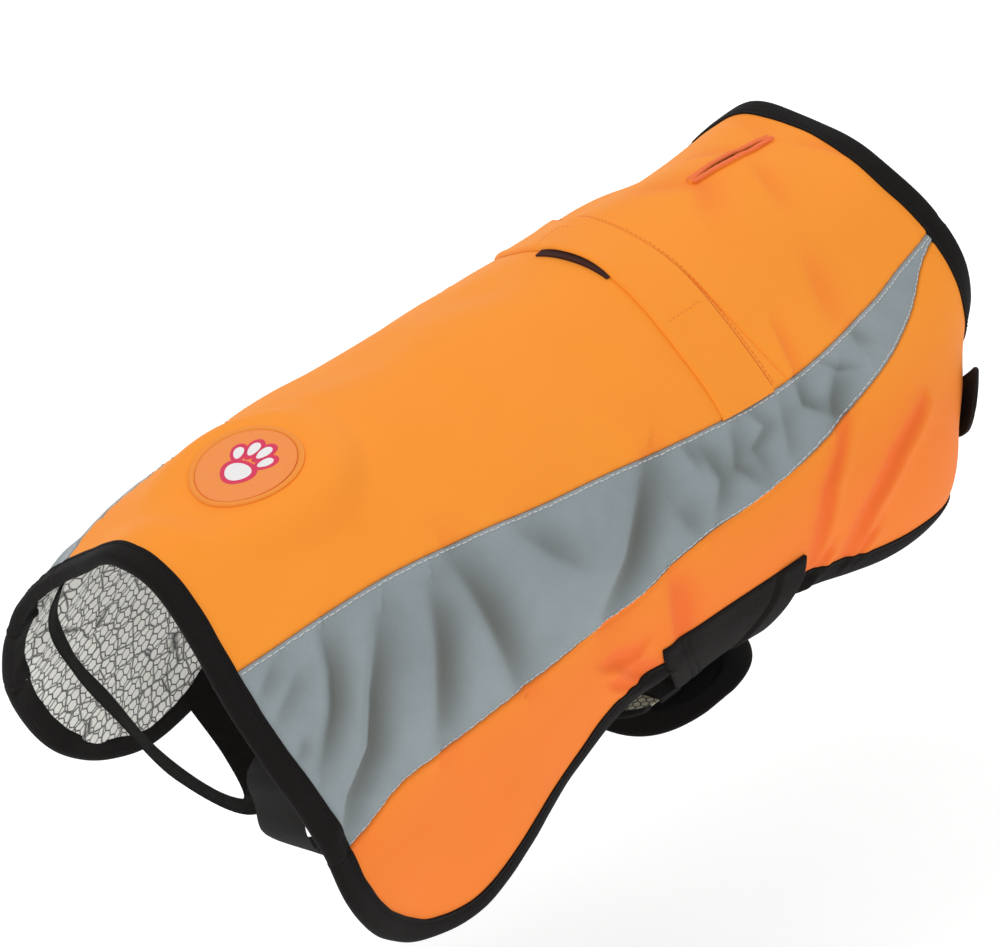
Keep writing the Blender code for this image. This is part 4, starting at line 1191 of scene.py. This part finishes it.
# %% [markdown]
# ## Round badge
# The badge is moulded soft rubber: a raised rim, a groove and a flat field. It is turned like a bowl: a
# profile of radius and height, swept round its middle, and laid on the vest. The raised sign on it is a
# plain paw, in white with a red edge.

# %% Badge
BADGE_RADIUS = 24.4 * MM


def circle(turn):
    return np.cos(turn), np.sin(turn)


def lathe_on_vest(name, profile, middle, finish, nodes, sides, shape=circle):
    """Rings of the profile (radius, height) round a middle place; `shape` turns an angle into a direction.
    Where the radius is 1, shape gives the true outline."""
    turn = np.linspace(0, 2 * np.pi, sides, endpoint=False)
    size = np.array([p[0] for p in profile])[:, None]
    high = np.array([p[1] for p in profile])[:, None] + 0 * turn
    bent = shape(turn)
    along, girth = middle[0] + size * bent[0], middle[1] + size * bent[1]
    ends = vest(np.full(2, middle[0]), np.full(2, middle[1]), np.array([profile[0][1], profile[-1][1]]))
    uv = np.stack([along, girth], -1)
    tube(name, vest(along, girth, high), uv, finish, nodes, "badge", (ends, np.array([middle, middle])))


def badge():
    """Field: a flat disc. Rim: a low roll round it, with a fine groove between the two. (share, mm) pairs."""
    low = CLOTH - 0.3 * MM
    rim = ((0.50, 0), (0.75, 0), (0.955, 0), (1.0, 0.3), (1.0, 0.55), (0.992, 0.95), (0.975, 1.35),
           (0.950, 1.62), (0.925, 1.62), (0.905, 1.40), (0.893, 1.0), (0.888, 0.6), (0.75, 0.5), (0.50, 0.5))
    disc = ((0.3, 0.1), (0.75, 0.1), (0.880, 0.2), (0.882, 0.8), (0.876, 1.16), (0.86, 1.28), (0.82, 1.32),
            (0.6, 1.34), (0.4, 1.34), (0.2, 1.34))
    for name, profile, finish in (("badge_rim", rim, RIM), ("badge_disc", disc, BADGE)):
        profile = [(share * BADGE_RADIUS, low + height * MM) for share, height in profile]
        lathe_on_vest(name, profile, (BADGE_ALONG, BADGE_GIRTH), finish, ["badge"], 120)
    return low + disc[-1][1] * MM


BADGE_TOP = badge()


# %% Paw sign
def pad(name, middle, long, wide, turn, grow, rise, finish):
    """One low oval of the paw: long and wide are its half axes. It is turned, grown by a share, and stands
    `rise` over the badge."""
    def shape(angle):
        x, y = long * np.cos(angle), wide * np.sin(angle) * (1 + 0.18 * np.cos(angle))
        return x * np.cos(turn) - y * np.sin(turn), x * np.sin(turn) + y * np.cos(turn)
    sunk = -0.1 * MM
    steps = ((0.4, sunk), (grow, sunk), (grow, rise * 0.6), (grow * 0.96, rise * 0.9), (grow * 0.9, rise), (0.4, rise))
    lathe_on_vest(name, [(size, BADGE_TOP + high) for size, high in steps], middle, finish, [], 40, shape)


# along, girth from the badge's middle (mm), half length, half width, turn in degrees
PADS = ((-4.6, 0.0, 5.6, 7.2, 0), (4.6, -7.6, 3.9, 2.5, -30), (9.0, -2.9, 4.3, 2.7, -10),
        (9.0, 2.9, 4.3, 2.7, 10), (4.6, 7.6, 3.9, 2.5, 30))
for i, (a, g, long, wide, degrees) in enumerate(PADS):
    outline = ((BADGE_ALONG + a * MM, BADGE_GIRTH + g * MM), long * MM, wide * MM, np.radians(degrees))
    pad(f"paw_edge_{i}", *outline, 1 + 3.0 / (long + wide), 0.22 * MM, BADGE_RED)
    pad(f"paw_pad_{i}", *outline, 0.90, 0.42 * MM, BADGE_WHITE)
print("badge made")

# %% [markdown]
# ## Belly band
# Two wide black arms close under the belly. The right arm is sewn over the right side panel and is hemmed
# at its rear and folded at its front. The left arm passes below it and ends in a rounded lobe, whose upper
# face carries rough loop pile inside a broad smooth border. Both follow the form past its closing line.

# %% Places under the belly
BAND_LOW = BINDING_OUT + 0.3 * MM
BAND_CLOTH = 1.4 * MM
ARM_LENGTH = 110                # of the right arm, mm
LEFT_LENGTH, LEFT_WIDTH = 0.26, 0.075       # of the left arm, for the cloth's pattern
BAND_REAR, BAND_FRONT, BAND_TOP = 207 * MM, 279 * MM, 178.5 * MM
ARM_REAR, ARM_FRONT, ARM_LEAVES = 202 * MM, 273 * MM, 252 * MM
LOBE_REACH, LOBE_RISE, LOBE_ROUND = 50 * MM, -0.02, 0.21


def round_under(along, girth, out):
    """Down the right side, and past the closing up the left one; the relief fades out at the closing."""
    along = np.asarray(along, float)
    closing = closing_girth(along)
    signed = np.where(girth <= closing, girth, girth - 2 * closing)
    near = ease((closing - np.abs(signed)) / (25 * MM))
    return on_form(along, signed - CENTRE_SHIFT, out + relief(along, signed - CENTRE_SHIFT) * near - SETTLE)


def arm_place(u, v, out):
    """A place on the left arm: u from the left side panel to the lobe's end, v from rear to front. Past
    ARM_LEAVES it goes straight on: point = leaving place + past * (1, 0, LOBE_RISE)."""
    rear = span(BAND_REAR, ARM_REAR, ease(u))
    front = span(BAND_FRONT, ARM_FRONT, ease(u))
    along = span(rear, front, v)
    start = 2 * closing_girth(along) - BAND_TOP + CENTRE_SHIFT
    girth = span(start, ARM_LEAVES - LOBE_REACH, u)
    past = np.maximum(ARM_LEAVES - girth, 0)
    lower = ease((closing_girth(along) - girth - past + 34 * MM) / (28 * MM))
    under = BAND_LOW + lower * (BAND_CLOTH + 1.7 * MM)
    point = round_under(along, girth + past, under + out)
    droop = -3.0 * MM * (past / LOBE_REACH) ** 2 * (2 * v - 1) ** 2
    return point + past[..., None] * np.array([1.0, 0.0, LOBE_RISE]) + droop[..., None] * np.array([0, 0, 1.0])


def lobe_half(u):
    """Half width of the arm as a share: full, then rounded: 0.5 * sqrt(1 - (0.985 t)^2.5)."""
    into = np.clip((np.asarray(u) - (1 - LOBE_ROUND)) / LOBE_ROUND, 0, 1)
    return 0.5 * np.sqrt(np.clip(1 - (0.985 * into) ** 2.5, 0.02, 1))


# %% Right arm
HEM_GROOVES = (9.0, 12.6)       # two lines of stitching, mm from the rear edge


def right_edges(u):
    """The arm's rear and front edge: it narrows over its first 30 percent."""
    narrow = ease(u / 0.3)
    return BAND_REAR + 13 * MM * narrow, BAND_FRONT - 15 * MM * narrow


def arm_girth(along, u):
    """Distance round, from the arm's sewn top (u = 0) to a little before the closing (u = 1)."""
    return span(BAND_TOP + CENTRE_SHIFT, closing_girth(along) - 4 * MM, u)


def right_place(u, v, out):
    along = span(*right_edges(u), v)
    return round_under(along, arm_girth(along, u), out)


def right_low(u):
    """Under face: sewn down on the panel at its top, over the tape's height from 12 mm on."""
    return span(CLOTH + 0.15 * MM, BAND_LOW, ease(u * ARM_LENGTH / 12))


def band_right():
    """Height = cloth + hem at the rear edge (with two stitch grooves) + a fold at the front edge + slow
    pulls. All distances in here are in mm."""
    u, v = grid_of(crowd_ends(121, 0.5), crowd_ends(81, 0.5))
    rear, front = right_edges(u)
    from_rear, from_front = (front - rear) * v / MM, (front - rear) * (1 - v) / MM
    down = u * ARM_LENGTH
    hem = 0.35 * ease((15 - from_rear) / 1.2)
    for groove in HEM_GROOVES:
        hem = hem - 0.55 * np.exp(-((from_rear - groove) / 0.7) ** 2)
    line = 12.7 + 1.2 * np.sin(down / 9.0)
    fold = 1.1 * ease((line - from_front) / 0.8) * (1 - 0.5 * ease((down - 26) / 14))
    fold = fold - 1.0 * np.exp(-((from_front - line - 0.8) / 0.9) ** 2) * (1 - ease((down - 30) / 10))
    pulls = 0.35 * np.sin(from_rear / 7.0 + down / 21.0) * np.sin(down / 13.0 + 1.0)
    edge = np.minimum(np.minimum(from_rear, from_front), np.minimum(down, ARM_LENGTH - down))
    round_off = 0.9 * (1 - np.clip(edge / 1.5, 0, 1)) ** 2
    high = right_low(u) + BAND_CLOTH + (hem + fold + pulls * np.clip(edge / 8, 0, 1) - round_off) * MM
    uv = np.stack([from_rear * MM, down * MM], -1)
    top, bottom = right_place(u, v, high), right_place(u, v, right_low(u))
    piece = wall("belly_arm_right", top, bottom, uv, BAND, ["band_right"], "black_trim")
    print("right arm", u.shape)


band_right()


# %% Left arm and its lobe
def lobe_steps(count, rounded):
    """Shares along the arm, closer together round the lobe's end."""
    tail = span(1 - LOBE_ROUND, 1, np.sin(np.linspace(0, np.pi / 2, rounded)))
    return np.concatenate([np.linspace(0, 1 - LOBE_ROUND, count)[:-1], tail])


def band_left():
    """The arm itself; it ends just inside the lobe's border."""
    u, v = grid_of(lobe_steps(110, 24), np.linspace(-1, 1, 41))
    across = 0.5 + v * lobe_half(u) * 0.9
    swell = 0.3 * MM * np.sin(u * 23) * np.sin(v * 3.1 + u * 5)
    uv = np.stack([u * LEFT_LENGTH, across * LEFT_WIDTH], -1)
    top, bottom = (arm_place(u * 0.985, across, out + swell) for out in (BAND_CLOTH, 0.35 * MM))
    piece = wall("belly_arm_left", top, bottom, uv, BAND, ["band_left"], "black_trim")
    print("left arm", u.shape)


LOBE_INNER = 0.955      # the border's inner line ends at this share of the arm
# the border's section: share in, height in mm; the upper face is the negative side
LOBE_SECTION = ((0, 0.7), (0.01, 0.15), (0.06, -0.3), (0.14, -0.5), (0.30, -0.42), (0.55, -0.35), (0.70, -0.5),
                (0.80, -0.62), (0.88, -0.42), (0.95, -0.05), (1.0, 0.5), (1.0, 1.0), (0.9, 1.55), (0.5, 1.7),
                (0.16, 1.8), (0.05, 1.6), (0.01, 1.2))


def round_lobe(steps, half):
    """Out along the arm's rear edge, round the lobe's end and back along its front edge."""
    rear, front = np.stack([steps, 0.5 - half], -1), np.stack([steps, 0.5 + half], -1)
    return np.concatenate([rear, front[::-1]])


def lobe_edge():
    """A thick folded border carried round the lobe: a rounded outer fold, two low ridges on the upper face
    and a flat lower face."""
    steps = 0.45 + lobe_steps(40, 40) * 0.55
    half = lobe_half(steps)
    outer, inner = round_lobe(steps, half), round_lobe(steps * LOBE_INNER, half * 0.70)
    rings = []
    for share, out in LOBE_SECTION:
        place = span(outer, inner, share)
        rings.append(arm_place(place[:, 0], place[:, 1], out * MM + 0 * place[:, 0]))
    rings = np.stack(rings, axis=1)
    run = np.concatenate([[0], np.cumsum(np.linalg.norm(np.diff(rings[:, 0], axis=0), axis=1))])
    uv = np.stack(np.broadcast_arrays(run[:, None], np.linspace(0, 0.03, rings.shape[1])[None]), -1)
    tube("lobe_edge", rings, uv, LOBE, ["lobe_border"], "black_trim")


def lobe_pile():
    """Rough loop pile inside the border, on the lobe's upper face: a product of fine sines for the loops,
    and long low ridges that run round with the edge."""
    start = 0.60
    u, v = grid_of(np.linspace(start, LOBE_INNER, 111), np.linspace(-1, 1, 91))
    across = 0.5 + v * lobe_half(u / LOBE_INNER) * 0.74
    ring = np.minimum(1 - np.abs(v), (LOBE_INNER - u) * 2.2)
    loops = 0.16 * np.sin(u * 1100 + 3 * np.sin(v * 31)) * np.sin(v * 170 + 2 * np.sin(u * 190))
    ridges = 0.45 * np.exp(-((ring - 0.22) / 0.05) ** 2) + 0.3 * np.exp(-((ring - 0.42) / 0.06) ** 2)
    rise = (0.35 + loops + ridges) * ease(ring / 0.05) * ease((u - start) / 0.06)
    uv = np.stack([u * LEFT_LENGTH, across * LEFT_WIDTH], -1)
    top, bottom = arm_place(u, across, -rise * MM + 0.3 * MM), arm_place(u, across, 0.6 * MM + 0 * u)
    wall("lobe_pile", top, bottom, uv, PILE, [], "black_trim")
    print("lobe pile", u.shape)


band_left()
lobe_edge()
lobe_pile()

# %% [markdown]
# ## Chest tab
# A short tab with a round end closes the collar at the chest. It is stiff, so its free end stands off.

# %% Chest tab
TAB_LINE = ((428, 230), (416, 200), (400, 153))
TAB_LIFT = 6 * MM


def chest_tab():
    """Middle line through three places; half width grows from 6 to 30 mm and then rounds off."""
    rounded = span(0.62, 1.0, np.sin(np.linspace(0, np.pi / 2, 24)))
    u, v = grid_of(np.concatenate([np.linspace(0, 0.62, 24)[:-1], rounded]), np.linspace(-1, 1, 41))
    table = np.array(TAB_LINE, float) * MM
    knots = np.array([0.0, 0.42, 1.0])
    half = span(6, 30, u) * MM * np.sqrt(np.clip(1 - np.clip((u - 0.5) / 0.5, 0, 0.985) ** 2.2, 0, 1))
    along = smooth(knots, table[:, 0], u) + v * half * 0.79
    girth = smooth(knots, table[:, 1], u) - v * half * 0.61 + CENTRE_SHIFT
    low = CLOTH + 0.3 * MM + TAB_LIFT * u ** 2
    edge = np.minimum((1 - np.abs(v)) * half / MM, (1 - u) * 60)
    groove = 0.25 * np.exp(-((edge - 3.2) / 0.6) ** 2)
    thick = 1.8 - 0.9 * (1 - np.clip(edge / 1.3, 0, 1)) ** 2 - groove + 0.2 * ease(edge / 6)
    top, bottom = round_under(along, girth, low + thick * MM), round_under(along, girth, low)
    wall("collar_tab", top, bottom, np.stack([u * 0.08, v * half], -1), BAND, ["chest_tab"], "black_trim")
    print("chest tab", u.shape)


chest_tab()

# %% [markdown]
# ## Leg loops
# Flat elastic runs from inside the tail edge, down behind each thigh, and back to the rear lobe. A flat
# section is carried along a smooth path; each place on the path also says which way the flat side looks.

# %% Leg loops
STRAP_PATH = (
    # across, along, height (mm from the form's own zero), then the flat side's direction
    (69.2, 24.8, -50.3, .70, -.10, .70), (66, 12, -66, .70, -.45, .10), (58, 13, -84, .55, -.70, -.35),
    (47, 27, -115, .48, -.72, -.50), (35, 42, -147, .40, -.75, -.52), (22, 68, -178, .10, -.60, -.78),
    (32, 98, -196, -.40, .10, -.90), (62, 114, -194, -.20, .50, -.80), (90, 117, -177.5, .60, .50, -.60),
)


STRAP_HALF = 10 * MM


def leg_loop(side, word):
    """Section: a flat oval, 20 mm by 1.3 mm, with thin rounded edges. It curls a little across its width."""
    table = np.array(STRAP_PATH, float)
    knots = np.concatenate([[0], np.cumsum(np.linalg.norm(np.diff(table[:, :3], axis=0), axis=1))])
    at = np.linspace(0, knots[-1], 171)
    middle = smooth(knots, table[:, :3].T, at).T * MM - ORIGIN
    face = smooth(knots, table[:, 3:].T, at).T
    ahead = unit(np.gradient(middle, axis=0))
    face = unit(face - ahead * np.sum(face * ahead, axis=1, keepdims=True))
    width = np.cross(ahead, face)
    across = np.concatenate([np.linspace(-1, 1, 11), np.linspace(1, -1, 11)])
    thick = 0.65 * np.clip(1 - np.abs(across) ** 6, 0.25, 1) * np.repeat([1, -1], 11)
    curl = -0.5 * across ** 2
    out = (thick + curl)[None, :, None] + 0.15 * np.sin(at / 11.0)[:, None, None]
    rings = middle[:, None] + width[:, None] * across[None, :, None] * STRAP_HALF + face[:, None] * out * MM
    uv = np.stack(np.broadcast_arrays(across[None] * STRAP_HALF, at[:, None] * MM), -1)
    tube("leg_strap_" + word, rings * np.array([side, 1, 1]), uv, ELASTIC, ["leg_loop_" + word], "black_trim")
    print("leg strap", word, round(knots[-1]), "mm")


for side, word in SIDES:
    leg_loop(side, word)

# %% [markdown]
# ## Belly facing
# Behind the band a piece of mesh closes the corner between the rear lobe and the arm. Its curved rear edge
# is bound with narrow black tape.

# %% Belly facing
FACING_LOW = -145 * MM          # height at its outer edge
FACING_REAR = 190 * MM
FACING_INNER, FACING_OUTER = 76 * MM, 99 * MM       # from the middle plane
FACING_TAPE = 3.0 * MM                              # half width of the tape on its rear edge


def facing_rear(u):
    """Its rear edge: straight near the middle, then a quarter of an ellipse towards the band."""
    return FACING_REAR + 16 * MM * (1 - np.sqrt(np.clip(1 - (1.6 * np.maximum(u - 0.4, 0)) ** 2, 0, 1)))


def facing_place(along, across, out):
    """It lies nearly level: 2 mm lower for each 20 mm towards the middle plane."""
    height = FACING_LOW - 2 * MM * (98 * MM - across) / (20 * MM)
    return np.stack([across + 0 * along, along, height + out + 0 * along], -1) - ORIGIN


def facing_wall(name, along, across, low, high, finish, nodes, slot):
    top, bottom = facing_place(along, across, high), facing_place(along, across, low)
    wall(name, top, bottom, np.stack([along, across], -1), finish, nodes, slot)


def belly_facing():
    """The mesh, a flat tape where it meets the band, and a folded tape round its rear edge."""
    u, v = grid_of(np.linspace(0, 1, 41), np.linspace(0, 1, 41))
    along = span(facing_rear(u), BAND_REAR + 15 * MM, v)
    across = span(FACING_INNER, FACING_OUTER, u)
    sag = -0.6 * MM * np.sin(np.pi * v) * np.sin(np.pi * u)
    # the facing's mesh is darkened as painted shade, for it lies in shade behind the band
    facing_wall("facing_mesh", along, across, 0.4 * MM + sag, 1.0 * MM + sag, SHADED_FACING_MESH, ["belly_facing"], "mesh_lining")
    u, v = grid_of(np.linspace(0, 1, 31), np.linspace(0, 1, 21))
    along = span(BAND_REAR + 3 * MM, BAND_REAR + 18 * MM, v) + 2 * MM * u * (1 - v)
    across = span(FACING_INNER, 100.5 * MM, u)
    facing_wall("facing_front_tape", along, across, -0.6 * MM, 2.4 * MM, TAPE, [], "black_trim")
    u = np.linspace(-0.02, 1.02, 61)[:, None]
    turn = np.linspace(0, 2 * np.pi, 13)[:-1]
    along = facing_rear(np.clip(u, 0, 1)) + 1.6 * MM + FACING_TAPE * np.cos(turn)
    across = span(FACING_INNER, FACING_OUTER, u) + 0 * turn
    high = 0.95 * MM + 1.35 * MM * np.sign(np.sin(turn)) * np.abs(np.sin(turn)) ** 0.6
    uv = np.stack(np.broadcast_arrays(span(0, 0.03, u), turn[None] * MM), -1)
    tube("facing_tape", facing_place(along, across, high), uv, TAPE, [], "black_trim")


belly_facing()
print("belly facing made")

# %% [markdown]
# ## Stitching
# Every seam is sewn, and the thread is what the eye reads as "made of cloth". A stitch is a small closed
# spindle with few faces, laid along a line on the vest. All the stitches of a seam are one mesh.

# %% Kinds of stitch
Stitch = namedtuple("Stitch", "pitch length radius sway turn finish slot")
INSERT_STITCH = Stitch(3.1 * MM, 2.5 * MM, 0.30 * MM, 0.10 * MM, 0.0, GREY_THREAD, "reflective_cloth")
SEAM_STITCH = Stitch(2.6 * MM, 2.0 * MM, 0.20 * MM, 0.08 * MM, 0.0, SEAM_THREAD, "orange_cloth")
SEAM_SHADOW_LINE = Stitch(1.5 * MM, 1.9 * MM, 0.26 * MM, 0.0, 0.0, SEAM_SHADE, "orange_cloth")     # a dark line of painted shadow where the flap's front edge steps down
SIDE_STITCH = SEAM_STITCH._replace(radius=0.18 * MM, sway=0.05 * MM)
BOX_STITCH = SIDE_STITCH._replace(radius=0.17 * MM)
WELT_STITCH = Stitch(0.95 * MM, 3.2 * MM, 0.36 * MM, 0.08 * MM, np.pi / 2 - 0.25, RED_THREAD, "orange_cloth")
TAPE_STITCH = Stitch(3.0 * MM, 2.3 * MM, 0.22 * MM, 0.08 * MM, 0.0, BLACK_THREAD, "black_trim")
ARM_STITCH = TAPE_STITCH._replace(pitch=2.8 * MM, length=2.2 * MM, sway=0.06 * MM)
print("kinds of stitch: 8")


# %% Stitch maker
def stitch_row(name, place, line, high, kind):
    """Spindles at every `pitch` along a line. Each has 4 rings of 5 points: radius * sqrt(1 - 0.8 s^2) round a
    short curve that dips at both ends. `turn` swings it across the line; `sway` makes the row uneven."""
    pitch, length, radius, sway, turn, finish, slot = kind
    run = np.concatenate([[0], np.cumsum(np.hypot(*np.diff(line, axis=0).T))])
    count = int(run[-1] / pitch)
    number = np.arange(count)
    middle = (number + 0.5) * run[-1] / count
    uneven = sway * (np.sin(number * 2.4) + np.sin(number * 5.1 + 1))
    s = np.array([-1.0, -0.45, 0.45, 1.0])
    before, at, after = (np.stack([np.interp(middle + step, run, line[:, k]) for k in (0, 1)], -1)
                         for step in (-1 * MM, 0, 1 * MM))
    ahead = after - before
    ahead = ahead / np.maximum(np.hypot(ahead[:, 0], ahead[:, 1]), 1e-9)[:, None]
    side = np.stack([-ahead[:, 1], ahead[:, 0]], -1)
    swing = turn + 0.10 * np.sin(number * 3.3)
    aim = ahead * np.cos(swing)[:, None] + side * np.sin(swing)[:, None]
    cross = np.stack([-aim[:, 1], aim[:, 0]], -1)
    phi = np.linspace(0, 2 * np.pi, 6)[:-1]
    ring = radius * np.sqrt(1 - 0.8 * s ** 2)[None, :, None] * np.ones((count, 1, 5))
    base = (at + side * uneven[:, None])[:, None, None] + aim[:, None, None] * (s * length / 2)[None, :, None, None]
    spot = base + cross[:, None, None] * (ring * np.cos(phi))[..., None]
    out = high + 0.5 * radius * (1 - 1.6 * s ** 2)[None, :, None] + ring * np.sin(phi)
    points = place(spot[..., 0], spot[..., 1], out)
    first = np.arange(count)[:, None, None] * 20
    j = np.arange(5)
    k = (j + 1) % 5
    belts = np.concatenate([np.stack([i + j, i + k, i + 5 + k, i + 5 + j], -1) for i in (0, 5, 10)])
    ends = np.array([[0, 4, 3, 2, 1], [15, 16, 17, 18, 19]])
    sample = points[0]
    facing = np.cross(sample[1, 1] - sample[1, 0], sample[2, 0] - sample[1, 0])
    if np.dot(facing, sample[1, 0] - sample[1].mean(0)) < 0:
        belts, ends = belts[:, ::-1], ends[:, ::-1]
    quads = (first + belts[None]).reshape(-1, 4)
    caps = (first + ends[None]).reshape(-1, 5).tolist()
    finish_piece(name, points.reshape(-1, 3), quads, caps, spot.reshape(-1, 2), finish, [], slot)
    return count


# %% Seams of the inserts
def along_seam(table, shift, side, start):
    """A seam's line moved down by `shift`, from the tail tape to the neck tape."""
    along = np.arange(rear_inner(np.array([start]), 0)[0] + 1 * MM, NECK_INNER, 1 * MM)
    return np.stack([along, side * (seam(table, along) + shift)], -1)


total = 0
for side, word in SIDES:
    for edge, table, shift, start in (("top_", INSERT_TOP, 1.7, 80), ("low_", INSERT_LOW, -1.7, 156)):
        line = along_seam(table, shift * MM, side, start * MM)
        total += stitch_row("insert_stitches_" + edge + word, vest, line, CLOTH + 0.05 * MM, INSERT_STITCH)
print("insert stitches:", total)

# %% Flap, hook tape and welt stitches
across = np.linspace(-96 * MM, 99.5 * MM, 200)
# the second row is no thread: dark spindles laid as painted shadow along the step at the flap's front edge
for name, shift, kind in (("cross_seam_stitches", 2.0, SEAM_STITCH), ("cross_seam_shadow_line", 0.5, SEAM_SHADOW_LINE)):
    stitch_row(name, vest, np.stack([flap_seam_line(across) + shift * MM, across], -1), CLOTH, kind)
side_line = even_line(np.array([(277, 51), (301, 51)], float) * MM, 60)
stitch_row("flap_side_stitches", vest, side_line, CLOTH + 1.35 * MM, SIDE_STITCH)
corners = np.array([(-1, -1), (1, -1), (1, 1), (-1, 1), (-1, -1)]) * [BOX_HALF_ALONG, BOX_HALF_GIRTH]
box_line = even_line(corners + [BOX_ALONG, BOX_GIRTH], 240)
stitch_row("tape_box_stitches", vest, box_line, CLOTH + 1.70 * MM, BOX_STITCH)
lip = np.linspace(SLIT_MIDDLE - SLIT_LENGTH / 2, SLIT_MIDDLE + SLIT_LENGTH / 2, 80)
bow = np.clip(1 - ((lip - SLIT_MIDDLE) / (32 * MM)) ** 2, 0, 1)
for shift, word in ((-2.15, "left"), (2.15, "right")):
    line = np.stack([lip, SLIT_GIRTH + shift * MM * (0.45 + 0.65 * bow)], -1)
    stitch_row("welt_stitches_" + word, vest, line, CLOTH + 1.30 * MM, WELT_STITCH)
print("flap and welt stitched")

# %% Tape and band stitches
tape_rows = [("rear", vest, rear_line(), BINDING_WIDTH * 0.80), ("neck", vest, neck_line(), NECK_TAPE * 0.82)]
tape_rows += [("leg_" + word, leg_place(side), leg_line(side), BINDING_WIDTH * 0.80) for side, word in SIDES]
for word, place, line, inset in tape_rows:
    stitch_row("tape_stitches_" + word, place, moved_in(line, inset), BINDING_OUT - 0.02 * MM, TAPE_STITCH)
down = np.linspace(0.02, 0.62, 120)
for i, groove in enumerate(HEM_GROOVES):
    along = right_edges(down)[0] + groove * MM
    line = np.stack([along, arm_girth(along, down)], -1)
    stitch_row(f"arm_stitches_{i}", round_under, line, BAND_LOW + BAND_CLOTH + 0.12 * MM, ARM_STITCH)
print("tapes stitched")

# %% [markdown]
# ## Floor
# A plain pale floor, wide enough to fill the view from every side.

# %% Floor
FLOOR_HALF, FLOOR_GLOW = 7.0, 0.30      # half its width in metres; a little light of its own keeps it white


def floor():
    corners = [(x * FLOOR_HALF, y * FLOOR_HALF, FLOOR) for x, y in ((-1, -1), (1, -1), (1, 1), (-1, 1))]
    mesh = bpy.data.meshes.new("floor")
    mesh.from_pydata(corners, [], [(0, 1, 2, 3)])
    material, _, shader = new_finish("floor", 0.9, 0.1)
    shader.inputs["Base Color"].default_value = (0.96, 0.96, 0.96, 1)
    shader.inputs["Emission Color"].default_value = (1, 1, 1, 1)
    shader.inputs["Emission Strength"].default_value = FLOOR_GLOW
    mesh.materials.append(material)
    sheet = bpy.data.objects.new("floor", mesh)
    bpy.context.scene.collection.objects.link(sheet)


floor()
print("floor at", FLOOR)
